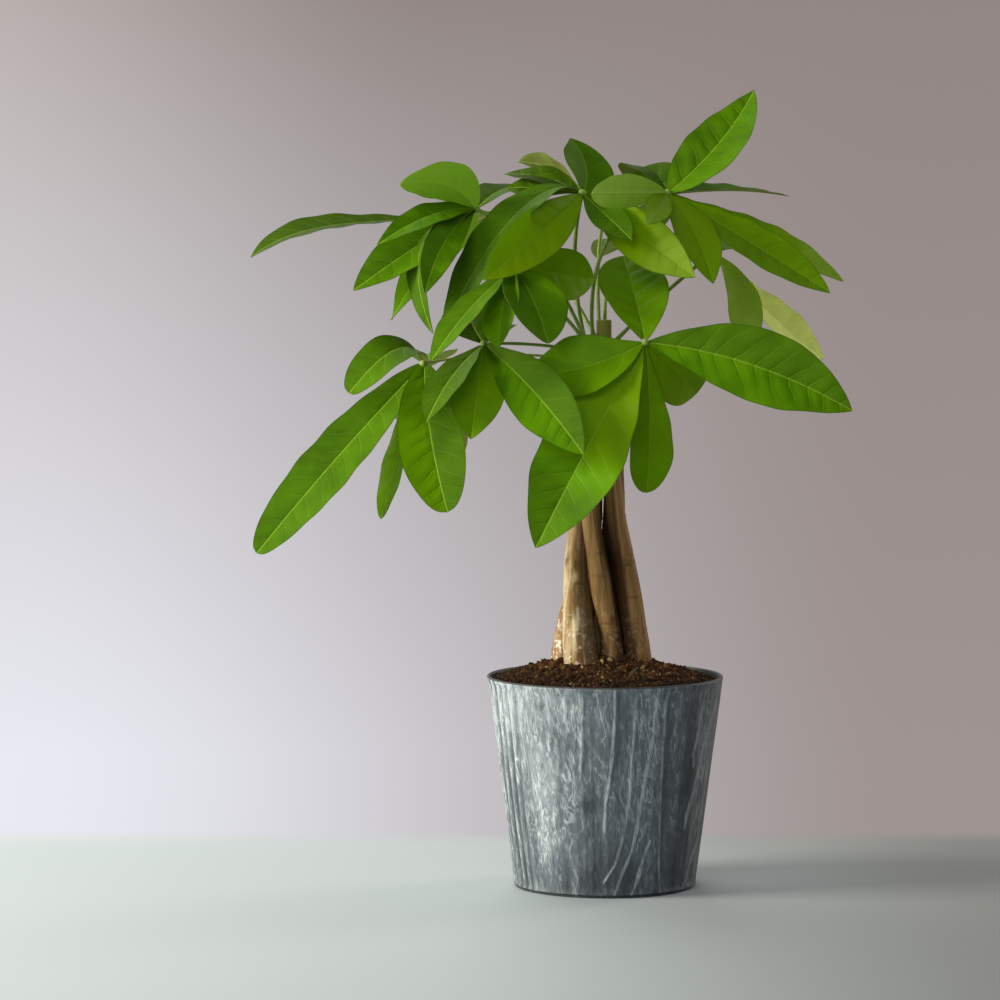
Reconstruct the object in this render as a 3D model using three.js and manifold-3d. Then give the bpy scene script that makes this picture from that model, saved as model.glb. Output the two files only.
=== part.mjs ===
// Potted money tree: five braided stems with palmate leaves, in soil, in a ridged tapered pot.
// Units are millimetres, +Z is up, the front faces -Y, and the origin is the middle of the pot's foot.
import * as THREE from 'three';
import Module from 'manifold-3d';

const wasm = await Module();
wasm.setup();

// Driving dimensions
const POT_HEIGHT = 135;
const POT_RIM_RADIUS = 75.6;
const POT_FOOT_RADIUS = 58.2;
const POT_WALL = 2.4;
const POT_FLOOR = 3;
const FOOT_RING_HEIGHT = 1.5;    // dark ring that the pot stands on
const FOOT_RING_INSET = 0.9;
const POT_SIDES = 56;
const RIDGE_DEPTH = 0.7;         // low upright ridges worked into the outside

const GAP = 0.3;                 // clearance between neighbours
const SOIL_BELOW_RIM = 4;        // at the wall
const SOIL_HEAP = 17;            // rise of the heap at the trunk
const SOIL_RINGS = 7;
const SOIL_SIDES = 40;

const STEM_FOOT_Z = 100;         // stems run about 40 mm down into the soil
const STEM_TOP_Z = 346;
const STEM_STUB_Z = 362;         // one stem was cut off higher than the others
const STEM_SIDES = 9;
const STEM_ROWS = 20;

const BLADE_THICKNESS = 0.8;
const BLADE_START = 1.9;         // blades begin this far from the middle of the hub
const PETIOLE_RADIUS = 1.35;
const HUB_RADIUS = 3;

// Small vector tools
const add = (a, b) => [a[0] + b[0], a[1] + b[1], a[2] + b[2]];
const sub = (a, b) => [a[0] - b[0], a[1] - b[1], a[2] - b[2]];
const mul = (a, k) => [a[0] * k, a[1] * k, a[2] * k];
const dot = (a, b) => a[0] * b[0] + a[1] * b[1] + a[2] * b[2];
const cross = (a, b) => [a[1] * b[2] - a[2] * b[1], a[2] * b[0] - a[0] * b[2], a[0] * b[1] - a[1] * b[0]];
const length = (a) => Math.hypot(a[0], a[1], a[2]);
const unit = (a) => mul(a, 1 / length(a));
const mix = (a, b, t) => a + (b - a) * t;
const clamp = (v, lo, hi) => Math.min(hi, Math.max(lo, v));

// Bodies
function body(points, triangles) {
  return new wasm.Manifold(new wasm.Mesh({
    numProp: 3,
    vertProperties: new Float32Array(points.flat()),
    triVerts: new Uint32Array(triangles.flat()),
  }));
}

// Closed body through rings of equally many points, the first ring at the bottom.
function loft(rings) {
  const n = rings[0].length;
  const points = rings.flat();
  const triangles = [];
  for (let i = 0; i + 1 < rings.length; i += 1) {
    for (let j = 0; j < n; j += 1) {
      const k = (j + 1) % n;
      const a = i * n + j;
      const b = i * n + k;
      const c = (i + 1) * n + k;
      const d = (i + 1) * n + j;
      triangles.push([a, b, c], [a, c, d]);
    }
  }
  const centre = (ring) => mul(ring.reduce(add, [0, 0, 0]), 1 / n);
  const low = points.push(centre(rings[0])) - 1;
  const high = points.push(centre(rings[rings.length - 1])) - 1;
  const last = (rings.length - 1) * n;
  for (let j = 0; j < n; j += 1) {
    const k = (j + 1) % n;
    triangles.push([low, k, j], [high, last + j, last + k]);
  }
  return body(points, triangles);
}

function mesh(name, solid, color, roughness) {
  const out = solid.getMesh();
  const geometry = new THREE.BufferGeometry();
  const points = new Float32Array(out.numVert * 3);
  for (let i = 0; i < out.numVert; i += 1) {
    for (let k = 0; k < 3; k += 1) points[i * 3 + k] = out.vertProperties[i * out.numProp + k];
  }
  geometry.setAttribute('position', new THREE.BufferAttribute(points, 3));
  geometry.setIndex(new THREE.BufferAttribute(new Uint32Array(out.triVerts), 1));
  geometry.computeVertexNormals();
  const material = new THREE.MeshStandardMaterial({ color, roughness, metalness: 0 });
  const m = new THREE.Mesh(geometry, material);
  m.name = name;
  return m;
}

// Pot
const potRadius = (z) => mix(POT_FOOT_RADIUS, POT_RIM_RADIUS, z / POT_HEIGHT);

// Low ridges: a few upright waves of unlike width, slanted a little as they rise.
function ridge(angle, z) {
  const a = angle + 0.0009 * z;
  return 0.5 * Math.sin(17 * a + 1.1 * Math.sin(3 * a)) + 0.3 * Math.sin(29 * a + 2 * Math.sin(2 * a)) - 0.4;
}

function pot() {
  const ring = (z, radius, ridged) => {
    const points = [];
    for (let j = 0; j < POT_SIDES; j += 1) {
      const a = (2 * Math.PI * j) / POT_SIDES;
      const r = radius + (ridged ? RIDGE_DEPTH * ridge(a, z) : 0);
      points.push([r * Math.cos(a), r * Math.sin(a), z]);
    }
    return points;
  };
  const outer = [ring(0, POT_FOOT_RADIUS - FOOT_RING_INSET, false),
    ring(FOOT_RING_HEIGHT, POT_FOOT_RADIUS - FOOT_RING_INSET + 0.2, false)];
  for (const z of [FOOT_RING_HEIGHT + 0.6, 35, 68, 101, POT_HEIGHT - 1.2]) outer.push(ring(z, potRadius(z), true));
  outer.push(ring(POT_HEIGHT, POT_RIM_RADIUS - 0.6, false));
  const inner = [ring(POT_FLOOR, potRadius(POT_FLOOR) - POT_WALL, false),
    ring(POT_HEIGHT + 1, potRadius(POT_HEIGHT + 1) - POT_WALL, false)];
  return loft(outer).subtract(loft(inner));
}

// Stems
// Each stem: how far from the trunk's axis, at which angle, and how thick it is, at soil level,
// at mid height and at the top. Angles fall as the stems rise: the braid turns clockwise seen from above.
const LEVELS = [STEM_FOOT_Z, 150, 232, STEM_TOP_Z];
const TRUNK_X = [-2.5, -2.5, -3, -6];
const STEMS = [
  { name: 'stem_1', out: [20, 20, 13.8, 9.8], angle: [-118, -130, -178, -204], radius: [10.8, 12, 7.2, 5.2], phase: 0.4 },
  { name: 'stem_2', out: [12.6, 12.6, 13.8, 9.8], angle: [-48, -56, -116, -132], radius: [7, 7.7, 6.6, 5.2], phase: 1.7 },
  { name: 'stem_3', out: [23, 23, 12.8, 9.8], angle: [6, -5, -30, -60], radius: [8.6, 9.8, 7.3, 5], phase: 2.6 },
  { name: 'stem_4', out: [17, 17, 13.8, 9.8], angle: [98, 87, 50, 12], radius: [9, 12, 7.4, 5.2], phase: 3.9 },
  { name: 'stem_5', out: [24, 24, 13.8, 9.8], angle: [170, 159, 114, 84], radius: [9, 10, 7.4, 5.2], phase: 5.2 },
];

// Value at height z, eased between the levels.
function at(values, z) {
  let i = 0;
  while (i < LEVELS.length - 2 && z > LEVELS[i + 1]) i += 1;
  return mix(values[i], values[i + 1], (z - LEVELS[i]) / (LEVELS[i + 1] - LEVELS[i]));
}

function stemCentre(stem, z) {
  const a = (at(stem.angle, z) * Math.PI) / 180;
  const r = at(stem.out, z);
  return [at(TRUNK_X, z) + r * Math.cos(a), r * Math.sin(a), z];
}

const stemTop = (stem) => (stem.name === 'stem_3' ? STEM_STUB_Z : STEM_TOP_Z);

function stemBody(stem, grow, foot) {
  const rings = [];
  const top = stemTop(stem) + grow;
  for (let i = 0; i <= STEM_ROWS; i += 1) {
    const z = mix(foot, top, i / STEM_ROWS);
    const c = stemCentre(stem, z);
    const ring = [];
    for (let j = 0; j < STEM_SIDES; j += 1) {
      const a = (2 * Math.PI * j) / STEM_SIDES;
      const knob = 1 - 0.035 * (1 + Math.sin(0.11 * z + 2 * a + stem.phase)) * (z > 320 ? 0.5 : 1);
      const r = at(stem.radius, z) * knob + grow;
      ring.push([c[0] + r * Math.cos(a), c[1] + r * Math.sin(a), z]);
    }
    rings.push(ring);
  }
  return loft(rings);
}

// Soil
function soilHeight(x, y) {
  const r = Math.hypot(x + 2.5, y);
  const heap = SOIL_HEAP * clamp(1 - (r - 20) / 55, 0, 1);
  const lumps = 0.9 * Math.sin(0.31 * x + 1.3) * Math.cos(0.27 * y - 0.6) + 0.6 * Math.sin(0.53 * x - 0.41 * y);
  return POT_HEIGHT - SOIL_BELOW_RIM + heap + lumps * clamp((76 - Math.hypot(x, y)) / 12, 0, 1);
}

function soil() {
  const rings = [];
  const wall = (z) => potRadius(z) - POT_WALL - GAP;
  const ring = (z, radius) => {
    const points = [];
    for (let j = 0; j < SOIL_SIDES; j += 1) {
      const a = (2 * Math.PI * j) / SOIL_SIDES;
      const r = radius * (radius > 50 ? 0.996 : 1);
      points.push([r * Math.cos(a), r * Math.sin(a), z]);
    }
    return points;
  };
  rings.push(ring(POT_FLOOR + GAP, wall(POT_FLOOR)));
  const edge = POT_HEIGHT - SOIL_BELOW_RIM - 1.5;
  rings.push(ring(edge, wall(edge)));
  for (let i = 0; i < SOIL_RINGS; i += 1) {
    const r = (wall(edge) - 0.4) * (1 - i / SOIL_RINGS);
    rings.push(ring(0, r).map(([x, y]) => [x, y, soilHeight(x, y)]));
  }
  let out = loft(rings);
  for (const stem of STEMS) out = out.subtract(stemBody(stem, GAP, STEM_FOOT_Z - GAP));
  return out;
}

// Leaves
// A blade runs from the hub to its tip. width is across its widest part; face is how squarely its
// upper side turns to the front (negative: the underside shows, left out: it lies as it hangs);
// arch lifts its middle, sweep bends it sideways, late moves the bend towards the tip,
// belly moves the widest part towards the tip and round makes the end blunter.
const blade = (tip, width, face, arch = 6, more = {}) => ({
  tip, width, face, arch, sweep: 0, late: 1, belly: 1.2, round: 0.8, fold: 0.16, twist: 0, coarse: false, ...more,
});

const TOWARDS_FRONT = unit([0, -1, 0.07]);

function bladeFrame(hub, b) {
  const chord = sub(b.tip, hub);
  const along = unit(chord);
  const up = unit(sub([0, 0, 1], mul(along, along[2])));
  const side = cross(along, up);
  let roll = 0;
  if (b.face !== null) {
    const p = dot(up, TOWARDS_FRONT);
    const q = dot(side, TOWARDS_FRONT);
    const most = Math.hypot(p, q);
    const open = Math.acos(clamp(b.face / most, -1, 1));
    const base = Math.atan2(q, p);
    const wrap = (v) => Math.atan2(Math.sin(v), Math.cos(v));
    const one = wrap(base + open);
    const two = wrap(base - open);
    roll = Math.abs(one) < Math.abs(two) ? one : two;
  }
  return { chord, along, up, side, roll };
}

function bladePoint(hub, b, frame, t, x, lift) {
  const turn = frame.roll + (b.twist * Math.PI / 180) * (t - 0.5);
  const at0 = (k) => {
    const s = k ** b.late;
    const bow = 4 * s * (1 - s);
    const n = add(mul(frame.up, Math.cos(frame.roll)), mul(frame.side, Math.sin(frame.roll)));
    const m = add(mul(frame.side, Math.cos(frame.roll)), mul(frame.up, -Math.sin(frame.roll)));
    return add(add(hub, mul(frame.chord, k)), add(mul(n, b.arch * bow), mul(m, b.sweep * bow)));
  };
  const centre = at0(t);
  const tangent = unit(sub(at0(Math.min(1, t + 0.02)), at0(Math.max(0, t - 0.02))));
  const level = add(mul(frame.side, Math.cos(turn)), mul(frame.up, -Math.sin(turn)));
  const across = unit(sub(level, mul(tangent, dot(level, tangent))));
  const normal = cross(across, tangent);
  const half = bladeHalfWidth(b, t);
  const rise = b.fold * half * (Math.abs(x) ** 1.3 - 0.35);
  return add(centre, add(mul(across, half * x), mul(normal, rise + lift)));
}

function bladeHalfWidth(b, t) {
  const full = Math.sin(Math.PI * clamp(t, 0, 1) ** b.belly);
  return Math.max(t < 0.5 ? 1.1 : 0.5, (b.width / 2) * Math.max(0, full) ** b.round);
}

const ROWS_FINE = [0, 0.12, 0.28, 0.46, 0.64, 0.8, 0.93, 1];
const ROWS_COARSE = [0, 0.14, 0.36, 0.62, 0.86, 1];
const ACROSS_FINE = [-1, -0.5, 0, 0.5, 1];
const ACROSS_COARSE = [-1, 0, 1];

// Both faces of a blade are cut into the same triangles; the two ends are only two points wide.
function bladeBody(hub, b) {
  const frame = bladeFrame(hub, b);
  const columns = b.coarse ? ACROSS_COARSE : ACROSS_FINE;
  const first = BLADE_START / Math.hypot(length(frame.chord), 4 * b.arch, 4 * b.sweep);
  const rows = (b.coarse ? ROWS_COARSE : ROWS_FINE).map((t) => Math.max(t, first));
  const grid = rows.map((t, i) => (i === 0 || i === rows.length - 1 ? [-1, 1] : columns).map((x) => [t, x]));
  const points = [];
  const ids = grid.map((row) => row.map(([t, x]) => {
    points.push(bladePoint(hub, b, frame, t, x, BLADE_THICKNESS / 2));
    return points.length - 1;
  }));
  const count = points.length;
  for (const row of grid) for (const [t, x] of row) points.push(bladePoint(hub, b, frame, t, x, -BLADE_THICKNESS / 2));
  const triangles = [];
  const face = (i, j, k) => triangles.push([i, j, k], [i + count, k + count, j + count]);
  const wall = (i, j) => triangles.push([i, i + count, j + count], [i, j + count, j]);
  for (let r = 0; r + 1 < ids.length; r += 1) {
    const low = ids[r];
    const high = ids[r + 1];
    if (low.length === high.length) {
      for (let j = 0; j + 1 < low.length; j += 1) {
        face(low[j], low[j + 1], high[j + 1]);
        face(low[j], high[j + 1], high[j]);
      }
    } else if (low.length < high.length) {
      const half = (high.length - 1) / 2;
      for (let j = 0; j + 1 < high.length; j += 1) face(low[j < half ? 0 : 1], high[j + 1], high[j]);
      face(low[0], low[1], high[half]);
    } else {
      const half = (low.length - 1) / 2;
      for (let j = 0; j + 1 < low.length; j += 1) face(low[j], low[j + 1], high[j < half ? 0 : 1]);
      face(high[0], low[half], high[1]);
    }
    wall(high[0], low[0]);
    wall(low[low.length - 1], high[high.length - 1]);
  }
  wall(ids[0][0], ids[0][1]);
  const tip = ids[ids.length - 1];
  wall(tip[1], tip[0]);
  return body(points, triangles);
}

function petiole(foot, bend, hub) {
  const steps = 8;
  const sides = 6;
  const rings = [];
  let ref = [1, 0, 0];
  for (let i = 0; i <= steps; i += 1) {
    const t = i / steps;
    const c = add(add(mul(foot, (1 - t) ** 2), mul(bend, 2 * t * (1 - t))), mul(hub, t * t));
    const dir = unit(add(mul(sub(bend, foot), 2 * (1 - t)), mul(sub(hub, bend), 2 * t)));
    ref = unit(sub(ref, mul(dir, dot(ref, dir))));
    const other = cross(dir, ref);
    const r = PETIOLE_RADIUS * (1 + 0.15 * Math.max(0, 1 - 6 * t));
    const ring = [];
    for (let j = 0; j < sides; j += 1) {
      const a = (2 * Math.PI * j) / sides;
      ring.push(add(c, add(mul(ref, r * Math.cos(a)), mul(other, r * Math.sin(a)))));
    }
    rings.push(ring);
  }
  return loft(rings);
}

function ball(centre, radius) {
  const rings = [];
  for (const u of [-0.7, 0.7]) {
    const ring = [];
    for (let j = 0; j < 6; j += 1) {
      const a = (2 * Math.PI * j) / 6;
      const r = radius * Math.sqrt(1 - u * u);
      ring.push(add(centre, [r * Math.cos(a), r * Math.sin(a), radius * u]));
    }
    rings.push(ring);
  }
  return loft(rings);
}

function leafBody(leaf) {
  let out = petiole(leaf.foot, leaf.bend, leaf.hub).add(ball(leaf.hub, HUB_RADIUS));
  for (const b of leaf.blades) out = out.add(bladeBody(leaf.hub, b));
  return out;
}

// Every leaf by hand: the foot of its stalk on its stem, the stalk's bend, the hub and the blades round it.
const LEAVES = [
  { name: 'leaf_a', foot: [2.7, -14.3, 324], bend: [12, -48, 330], hub: [23, -70, 350], blades: [
    blade([11, 5, 402], 46, null, 5, { round: 0.7 }),
    blade([149, -100, 309], 50, 0.93, 5, { belly: 1.15, sweep: -5 }),
    blade([57, -22, 316], 38, 0.8, 8, { round: 0.65 }),
    blade([24.5, -62, 256], 34, 0.85, 5, { belly: 1.45, round: 0.5 }),
    blade([-45, -105, 225], 55, 0.95, 4, { belly: 1.25 }),
    blade([-51, -60, 329], 46, 0.85, 5, { sweep: -8 }),
  ] },
  { name: 'leaf_b', foot: [-17.9, -10.4, 343], bend: [-50, -28, 349], hub: [-77, -45, 348], blades: [
    blade([-16, -118, 283], 42, 0.85, 4),
    blade([-85, -88, 291], 36, 0.85, 6),
    blade([-112, -98, 302], 30, 0.5, 6),
    blade([-87, -2, 374], 26, 0.5, 4),
    blade([-66, 12, 357], 30, null, 4),
  ] },
  { name: 'leaf_c', foot: [-21, 3.8, 337], bend: [-70, 2, 343], hub: [-115, -25, 335], blades: [
    blade([-161, -62, 318], 32, 0.55, 20, { round: 0.4, belly: 1.05 }),
    blade([-219, -60, 218], 39, 0.85, 6, { round: 0.42, belly: 1.1 }),
    blade([-142, -40, 238], 25, 0.6, 5, { round: 0.6, belly: 1.6 }),
    blade([-99.5, -92, 246], 47, 0.95, 5, { round: 0.46, belly: 1.25 }),
    blade([-112, 62, 330], 40, null, 8, { coarse: true }),
  ] },
  { name: 'leaf_d', foot: [-12, -5, 346.9], bend: [-38, -8, 410], hub: [-82, -15, 432], blades: [
    blade([-128, -75, 449], 36, -0.45, 3, { round: 0.6, sweep: -7 }),
    blade([-223, -40, 402], 40, 0.32, 13, { belly: 2.1, late: 2 }),
    blade([-158, -62, 382], 34, 0.7, 6, { belly: 1.4 }),
    blade([-135, -48, 363], 30, 0.7, 6, { belly: 1.1, round: 1.3, coarse: true }),
    blade([-143, -75, 410], 22, 0.55, 9, { belly: 1 }),
    blade([-113, -98, 381], 22, 0.75, 5, { sweep: 6 }),
    blade([-108.5, -78, 356], 22, 0.35, 26, { late: 0.9, round: 0.7 }),
    blade([-101, 10, 398], 26, -0.6, 4, { coarse: true }),
    blade([-50, 52, 446], 34, null, 6, { coarse: true }),
  ] },
  { name: 'leaf_e', foot: [-12.6, 4.9, 346.7], bend: [-25, 6, 400], hub: [-15, -10, 442], blades: [
    blade([-55, 45, 462], 19, -0.3, 6, { coarse: true }),
    blade([-64, 20, 454], 30, 0.4, 5, { coarse: true }),
    blade([-63, 0, 445], 30, 0.5, 3, { coarse: true }),
    blade([-77, -92, 389], 32, 0.75, 9, { sweep: -2 }),
    blade([-103, -54, 354], 40, 0.5, 24, { late: 0.9 }),
    blade([54, -62, 390], 32, 0.65, 1),
    blade([15, -52, 413], 22, 0.7, 1, { coarse: true }),
    blade([-22, 25, 477], 42, 0.6, 4, { sweep: 8, belly: 1 }),
  ] },
  { name: 'leaf_f', foot: [-7.4, 8.8, 346.6], bend: [-16, 0, 424], hub: [39, -5, 442], blades: [
    blade([97, 40, 508], 38, 0.75, 3, { belly: 1, round: 0.6, sweep: 7 }),
    blade([14, 26, 452], 40, 0.7, 3, { round: 0.5, coarse: true }),
    blade([120, 65, 440], 34, 0.15, 4, { belly: 0.7, round: 1.1 }),
    blade([139, -45, 380], 42, 0.72, 3),
    blade([152, 15, 386], 34, 0.5, 6),
    blade([66, -50, 386], 30, 0.6, 8),
    blade([24, -82, 423], 18, 0.6, 2, { coarse: true }),
    blade([-10.5, -92, 442.5], 24, -0.45, 2, { round: 0.6 }),
    blade([19, 75, 448], 38, null, 14, { coarse: true }),
  ] },
  { name: 'leaf_g', foot: [5.6, 3.7, 347.4], bend: [34, 14, 376], hub: [70, 40, 404], blades: [
    blade([87, 18, 343], 26, 0.85, 6, { belly: 1.05, round: 0.6, sweep: -8 }),
    blade([143, 62, 335], 36, 0.6, 5, { belly: 1.6, sweep: 3 }),
    blade([122, 118, 394], 34, null, 8, { coarse: true }),
  ] },
  { name: 'leaf_h', foot: [-12.6, -9.7, 347.5], bend: [-30, -34, 372], hub: [-58, -60, 396], blades: [
    blade([-8, -12, 388], 34, 0.75, 3, { round: 0.6 }),
    blade([-37.5, -92, 350], 45, 0.7, 5, { belly: 1, round: 0.65 }),
    blade([-109, -104, 340], 32, 0.5, 5),
    blade([-68, -88, 347], 34, 0.6, 4),
  ] },
  { name: 'leaf_i', foot: [-4.6, 12.3, 347.3], bend: [-30, 45, 400], hub: [-70, 80, 428], blades: [
    blade([-97, 150, 406], 36, null, 7, { coarse: true }),
    blade([-67, 180, 408], 38, null, 9, { coarse: true }),
    blade([-27, 152, 416], 36, null, 7, { coarse: true }),
    blade([-64, 120, 384], 34, null, 7, { coarse: true }),
  ] },
  { name: 'leaf_j', foot: [-3, 8, 346.8], bend: [-8, 30, 420], hub: [6, 66, 438], blades: [
    blade([-26, 138, 442], 36, null, 7, { coarse: true }),
    blade([8, 160, 430], 40, null, 9, { coarse: true }),
    blade([42, 150, 420], 38, null, 8, { coarse: true }),
    blade([62, 120, 428], 34, null, 7, { coarse: true }),
  ] },
  { name: 'leaf_k', foot: [1.2, 2.9, 347.2], bend: [-6, 42, 400], hub: [31, 98, 408], blades: [
    blade([66, 168, 394], 36, null, 7, { coarse: true }),
    blade([27, 186, 392], 38, null, 8, { coarse: true }),
    blade([-2, 158, 398], 34, null, 7, { coarse: true }),
    blade([94, 150, 404], 36, null, 7, { coarse: true }),
  ] },
  { name: 'leaf_l', foot: [-6.4, 16, 335], bend: [-16, 46, 345], hub: [-25, 72, 332], blades: [
    blade([-56, 132, 312], 36, null, 8, { coarse: true }),
    blade([-18, 162, 300], 40, null, 9, { coarse: true }),
    blade([16, 138, 304], 36, null, 8, { coarse: true }),
    blade([-28, 112, 276], 34, null, 6, { coarse: true }),
    blade([10, 96, 280], 34, null, 6, { coarse: true }),
  ] },
  { name: 'leaf_m', foot: [9.3, 5.7, 333], bend: [44, 32, 340], hub: [82, 60, 334], blades: [
    blade([127, 108, 314], 36, null, 7, { coarse: true }),
    blade([106, 150, 312], 38, null, 9, { coarse: true }),
    blade([66, 134, 318], 36, null, 8, { coarse: true }),
    blade([142, 66, 318], 32, null, 6, { coarse: true }),
  ] },
  { name: 'leaf_n', foot: [-21, 6.2, 322], bend: [-60, 30, 328], hub: [-104, 50, 310], blades: [
    blade([-106, 92, 252], 36, null, 7, { coarse: true }),
    blade([-128, 142, 282], 38, null, 9, { coarse: true }),
    blade([-92, 146, 284], 36, null, 8, { coarse: true }),
    blade([-164, 100, 280], 36, null, 8, { coarse: true }),
  ] },
];

// Assembly
const POT_GREY = 0x66727a;
const SOIL_BROWN = 0x4a2c1a;
const BARK_TAN = 0xb08f66;
const LEAF_GREEN = 0x4d8208;

const group = new THREE.Group();
group.name = 'potted_money_tree';
group.add(mesh('pot', pot(), POT_GREY, 0.6));
group.add(mesh('soil', soil(), SOIL_BROWN, 0.95));
for (const stem of STEMS) group.add(mesh(stem.name, stemBody(stem, 0, STEM_FOOT_Z), BARK_TAN, 0.8));
for (const leaf of LEAVES) group.add(mesh(leaf.name, leafBody(leaf), LEAF_GREEN, 0.5));

export default group;
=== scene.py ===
# %% [markdown]
# # A potted money tree
#
# Five young trees are braided into one trunk, with palmate leaves on long stalks, in a tapered pot.
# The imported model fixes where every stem, leaf and pot wall is. This lesson dresses each of those
# solids: it makes a finer mesh in the same place and gives it the finish of the living thing.
# Lengths are written in millimetres, as on a drawing, and turned to metres once, when a mesh is made.

import math

import bpy
import numpy as np
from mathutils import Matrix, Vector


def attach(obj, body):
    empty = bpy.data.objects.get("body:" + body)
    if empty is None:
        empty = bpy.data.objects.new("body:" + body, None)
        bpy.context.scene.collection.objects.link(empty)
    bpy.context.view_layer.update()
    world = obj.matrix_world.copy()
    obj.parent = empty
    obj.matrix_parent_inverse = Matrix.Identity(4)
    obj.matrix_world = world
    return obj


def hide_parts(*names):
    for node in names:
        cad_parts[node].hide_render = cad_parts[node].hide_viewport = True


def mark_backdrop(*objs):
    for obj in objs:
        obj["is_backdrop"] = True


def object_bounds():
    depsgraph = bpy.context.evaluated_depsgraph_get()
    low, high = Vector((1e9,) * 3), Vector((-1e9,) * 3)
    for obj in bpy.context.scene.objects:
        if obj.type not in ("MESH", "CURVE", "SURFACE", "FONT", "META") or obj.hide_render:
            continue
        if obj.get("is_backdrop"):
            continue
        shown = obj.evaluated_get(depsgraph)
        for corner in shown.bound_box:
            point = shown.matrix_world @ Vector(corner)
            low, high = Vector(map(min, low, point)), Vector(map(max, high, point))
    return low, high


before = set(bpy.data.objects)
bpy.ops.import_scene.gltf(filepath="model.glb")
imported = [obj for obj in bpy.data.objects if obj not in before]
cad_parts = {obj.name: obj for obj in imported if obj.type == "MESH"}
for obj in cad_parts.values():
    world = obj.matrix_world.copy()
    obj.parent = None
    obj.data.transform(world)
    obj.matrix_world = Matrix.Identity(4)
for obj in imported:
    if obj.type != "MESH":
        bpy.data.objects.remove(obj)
CAD_BOX = [list(corner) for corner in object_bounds()]
scene = bpy.context.scene
scene.view_settings.view_transform = "Standard"
MM = 0.001
print("solids:", len(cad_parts), "box:", [[round(v, 3) for v in c] for c in CAD_BOX])

# %% [markdown]
# ## The camera
#
# The ellipses of the rim and of the foot say how high the camera stood and how far away. A long lens
# from almost three metres keeps the pot's sides nearly parallel. A wide lens close up would also fill
# the frame, but the pot would bulge and the near leaves would look too large.

# %% Camera
CAMERA_PLACE = (-0.067, -2.86, 0.450)
CAMERA_DOWN = 4.06
LENS_LENGTH = 162
SENSOR_WIDTH = 36
lens = bpy.data.cameras.new("portrait lens")
lens.sensor_width = SENSOR_WIDTH
lens.lens = LENS_LENGTH
camera = bpy.data.objects.new("camera", lens)
scene.collection.objects.link(camera)
camera.location = CAMERA_PLACE
camera.rotation_euler = (math.radians(90 - CAMERA_DOWN), 0, 0)
scene.camera = camera
print("camera", CAMERA_PLACE, "looks down", CAMERA_DOWN, "degrees")

# %% [markdown]
# ## Small helpers
#
# Colours are picked as sRGB hex values, as a painter's chart gives them, but light adds up in linear
# values, so one function turns each of them. Another adds a node with its settings and its links.
# Node editors can be filled by hand, and a script keeps the same tree readable and repeatable.


# %% Colour, node and mesh helpers
def srgb(code):
    """A hex colour as the linear RGBA that shaders use."""
    parts = [int(code[i : i + 2], 16) / 255 for i in (1, 3, 5)]
    linear = [c / 12.92 if c <= 0.04045 else ((c + 0.055) / 1.055) ** 2.4 for c in parts]
    return (*linear, 1.0)


def add(tree, kind, inputs=(), out=None, **settings):
    """Adds a node and gives its output: the first that shows in the editor, or the one named out.

    kind leaves out the word ShaderNode. inputs are numbers, hex colours or the outputs that feed
    the node: a list fills the sockets that show, from the top, and a dict names its sockets.
    """
    node = tree.nodes.new(kind if "Node" in kind else "ShaderNode" + kind)
    for name, value in settings.items():
        setattr(node, name, value)
    sockets = [socket for socket in node.inputs if socket.enabled]
    if isinstance(inputs, dict):
        sockets = [node.inputs[key] for key in inputs]
        inputs = inputs.values()
    for socket, value in zip(sockets, inputs):
        if isinstance(value, bpy.types.NodeSocket):
            tree.links.new(value, socket)
        elif isinstance(value, str) and value.startswith("#"):
            socket.default_value = srgb(value)
        else:
            socket.default_value = value
    outputs = [socket for socket in node.outputs if socket.enabled]
    return node.outputs[out] if out else outputs[0] if outputs else node


def new_material(name):
    """A material with an empty node tree, and that tree."""
    material = bpy.data.materials.new(name)
    material.use_nodes = True
    material.node_tree.nodes.clear()
    return material, material.node_tree


def mesh_object(name, points, faces, materials, values=None, smooth_angle=55):
    """A mesh from points in mm, with one number per point for each named value."""
    data = bpy.data.meshes.new(name)
    data.from_pydata((np.asarray(points) * MM).tolist(), [], faces)
    for key, numbers in (values or {}).items():
        layer = data.attributes.new(key, "FLOAT", "POINT")
        layer.data.foreach_set("value", np.asarray(numbers, np.float32))
    for material in materials:
        data.materials.append(material)
    data.shade_smooth()
    data.set_sharp_from_angle(angle=math.radians(smooth_angle))
    thing = bpy.data.objects.new(name, data)
    scene.collection.objects.link(thing)
    return thing


def capped_tube(rings, first_end, last_end):
    """Points and faces of a closed tube: rows of points, and a point that closes each end."""
    ids = np.arange(len(rings) * len(rings[0])).reshape(len(rings), -1)
    beside = np.roll(ids, -1, axis=1)
    faces = np.stack([ids[:-1], beside[:-1], beside[1:], ids[1:]], -1).reshape(-1, 4).tolist()
    faces += [(ids.size, int(q), int(p)) for p, q in zip(ids[0], beside[0])]
    faces += [(ids.size + 1, int(p), int(q)) for p, q in zip(ids[-1], beside[-1])]
    return np.concatenate([np.reshape(rings, (-1, 3)), [first_end, last_end]]), faces


def turned_from(angle, other):
    """How far an angle is turned from another, from minus half a turn to half a turn."""
    return np.arctan2(np.sin(angle - other), np.cos(angle - other))


def unit(v):
    """Vectors in the same directions, each of length one."""
    return v / np.linalg.norm(v, axis=-1, keepdims=True)


def triangles(thing):
    """How many triangles an object's mesh has."""
    thing.data.calc_loop_triangles()
    return len(thing.data.loop_triangles)


print("leaf green as linear light:", [round(c, 3) for c in srgb("#4d8208")[:3]])

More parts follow.
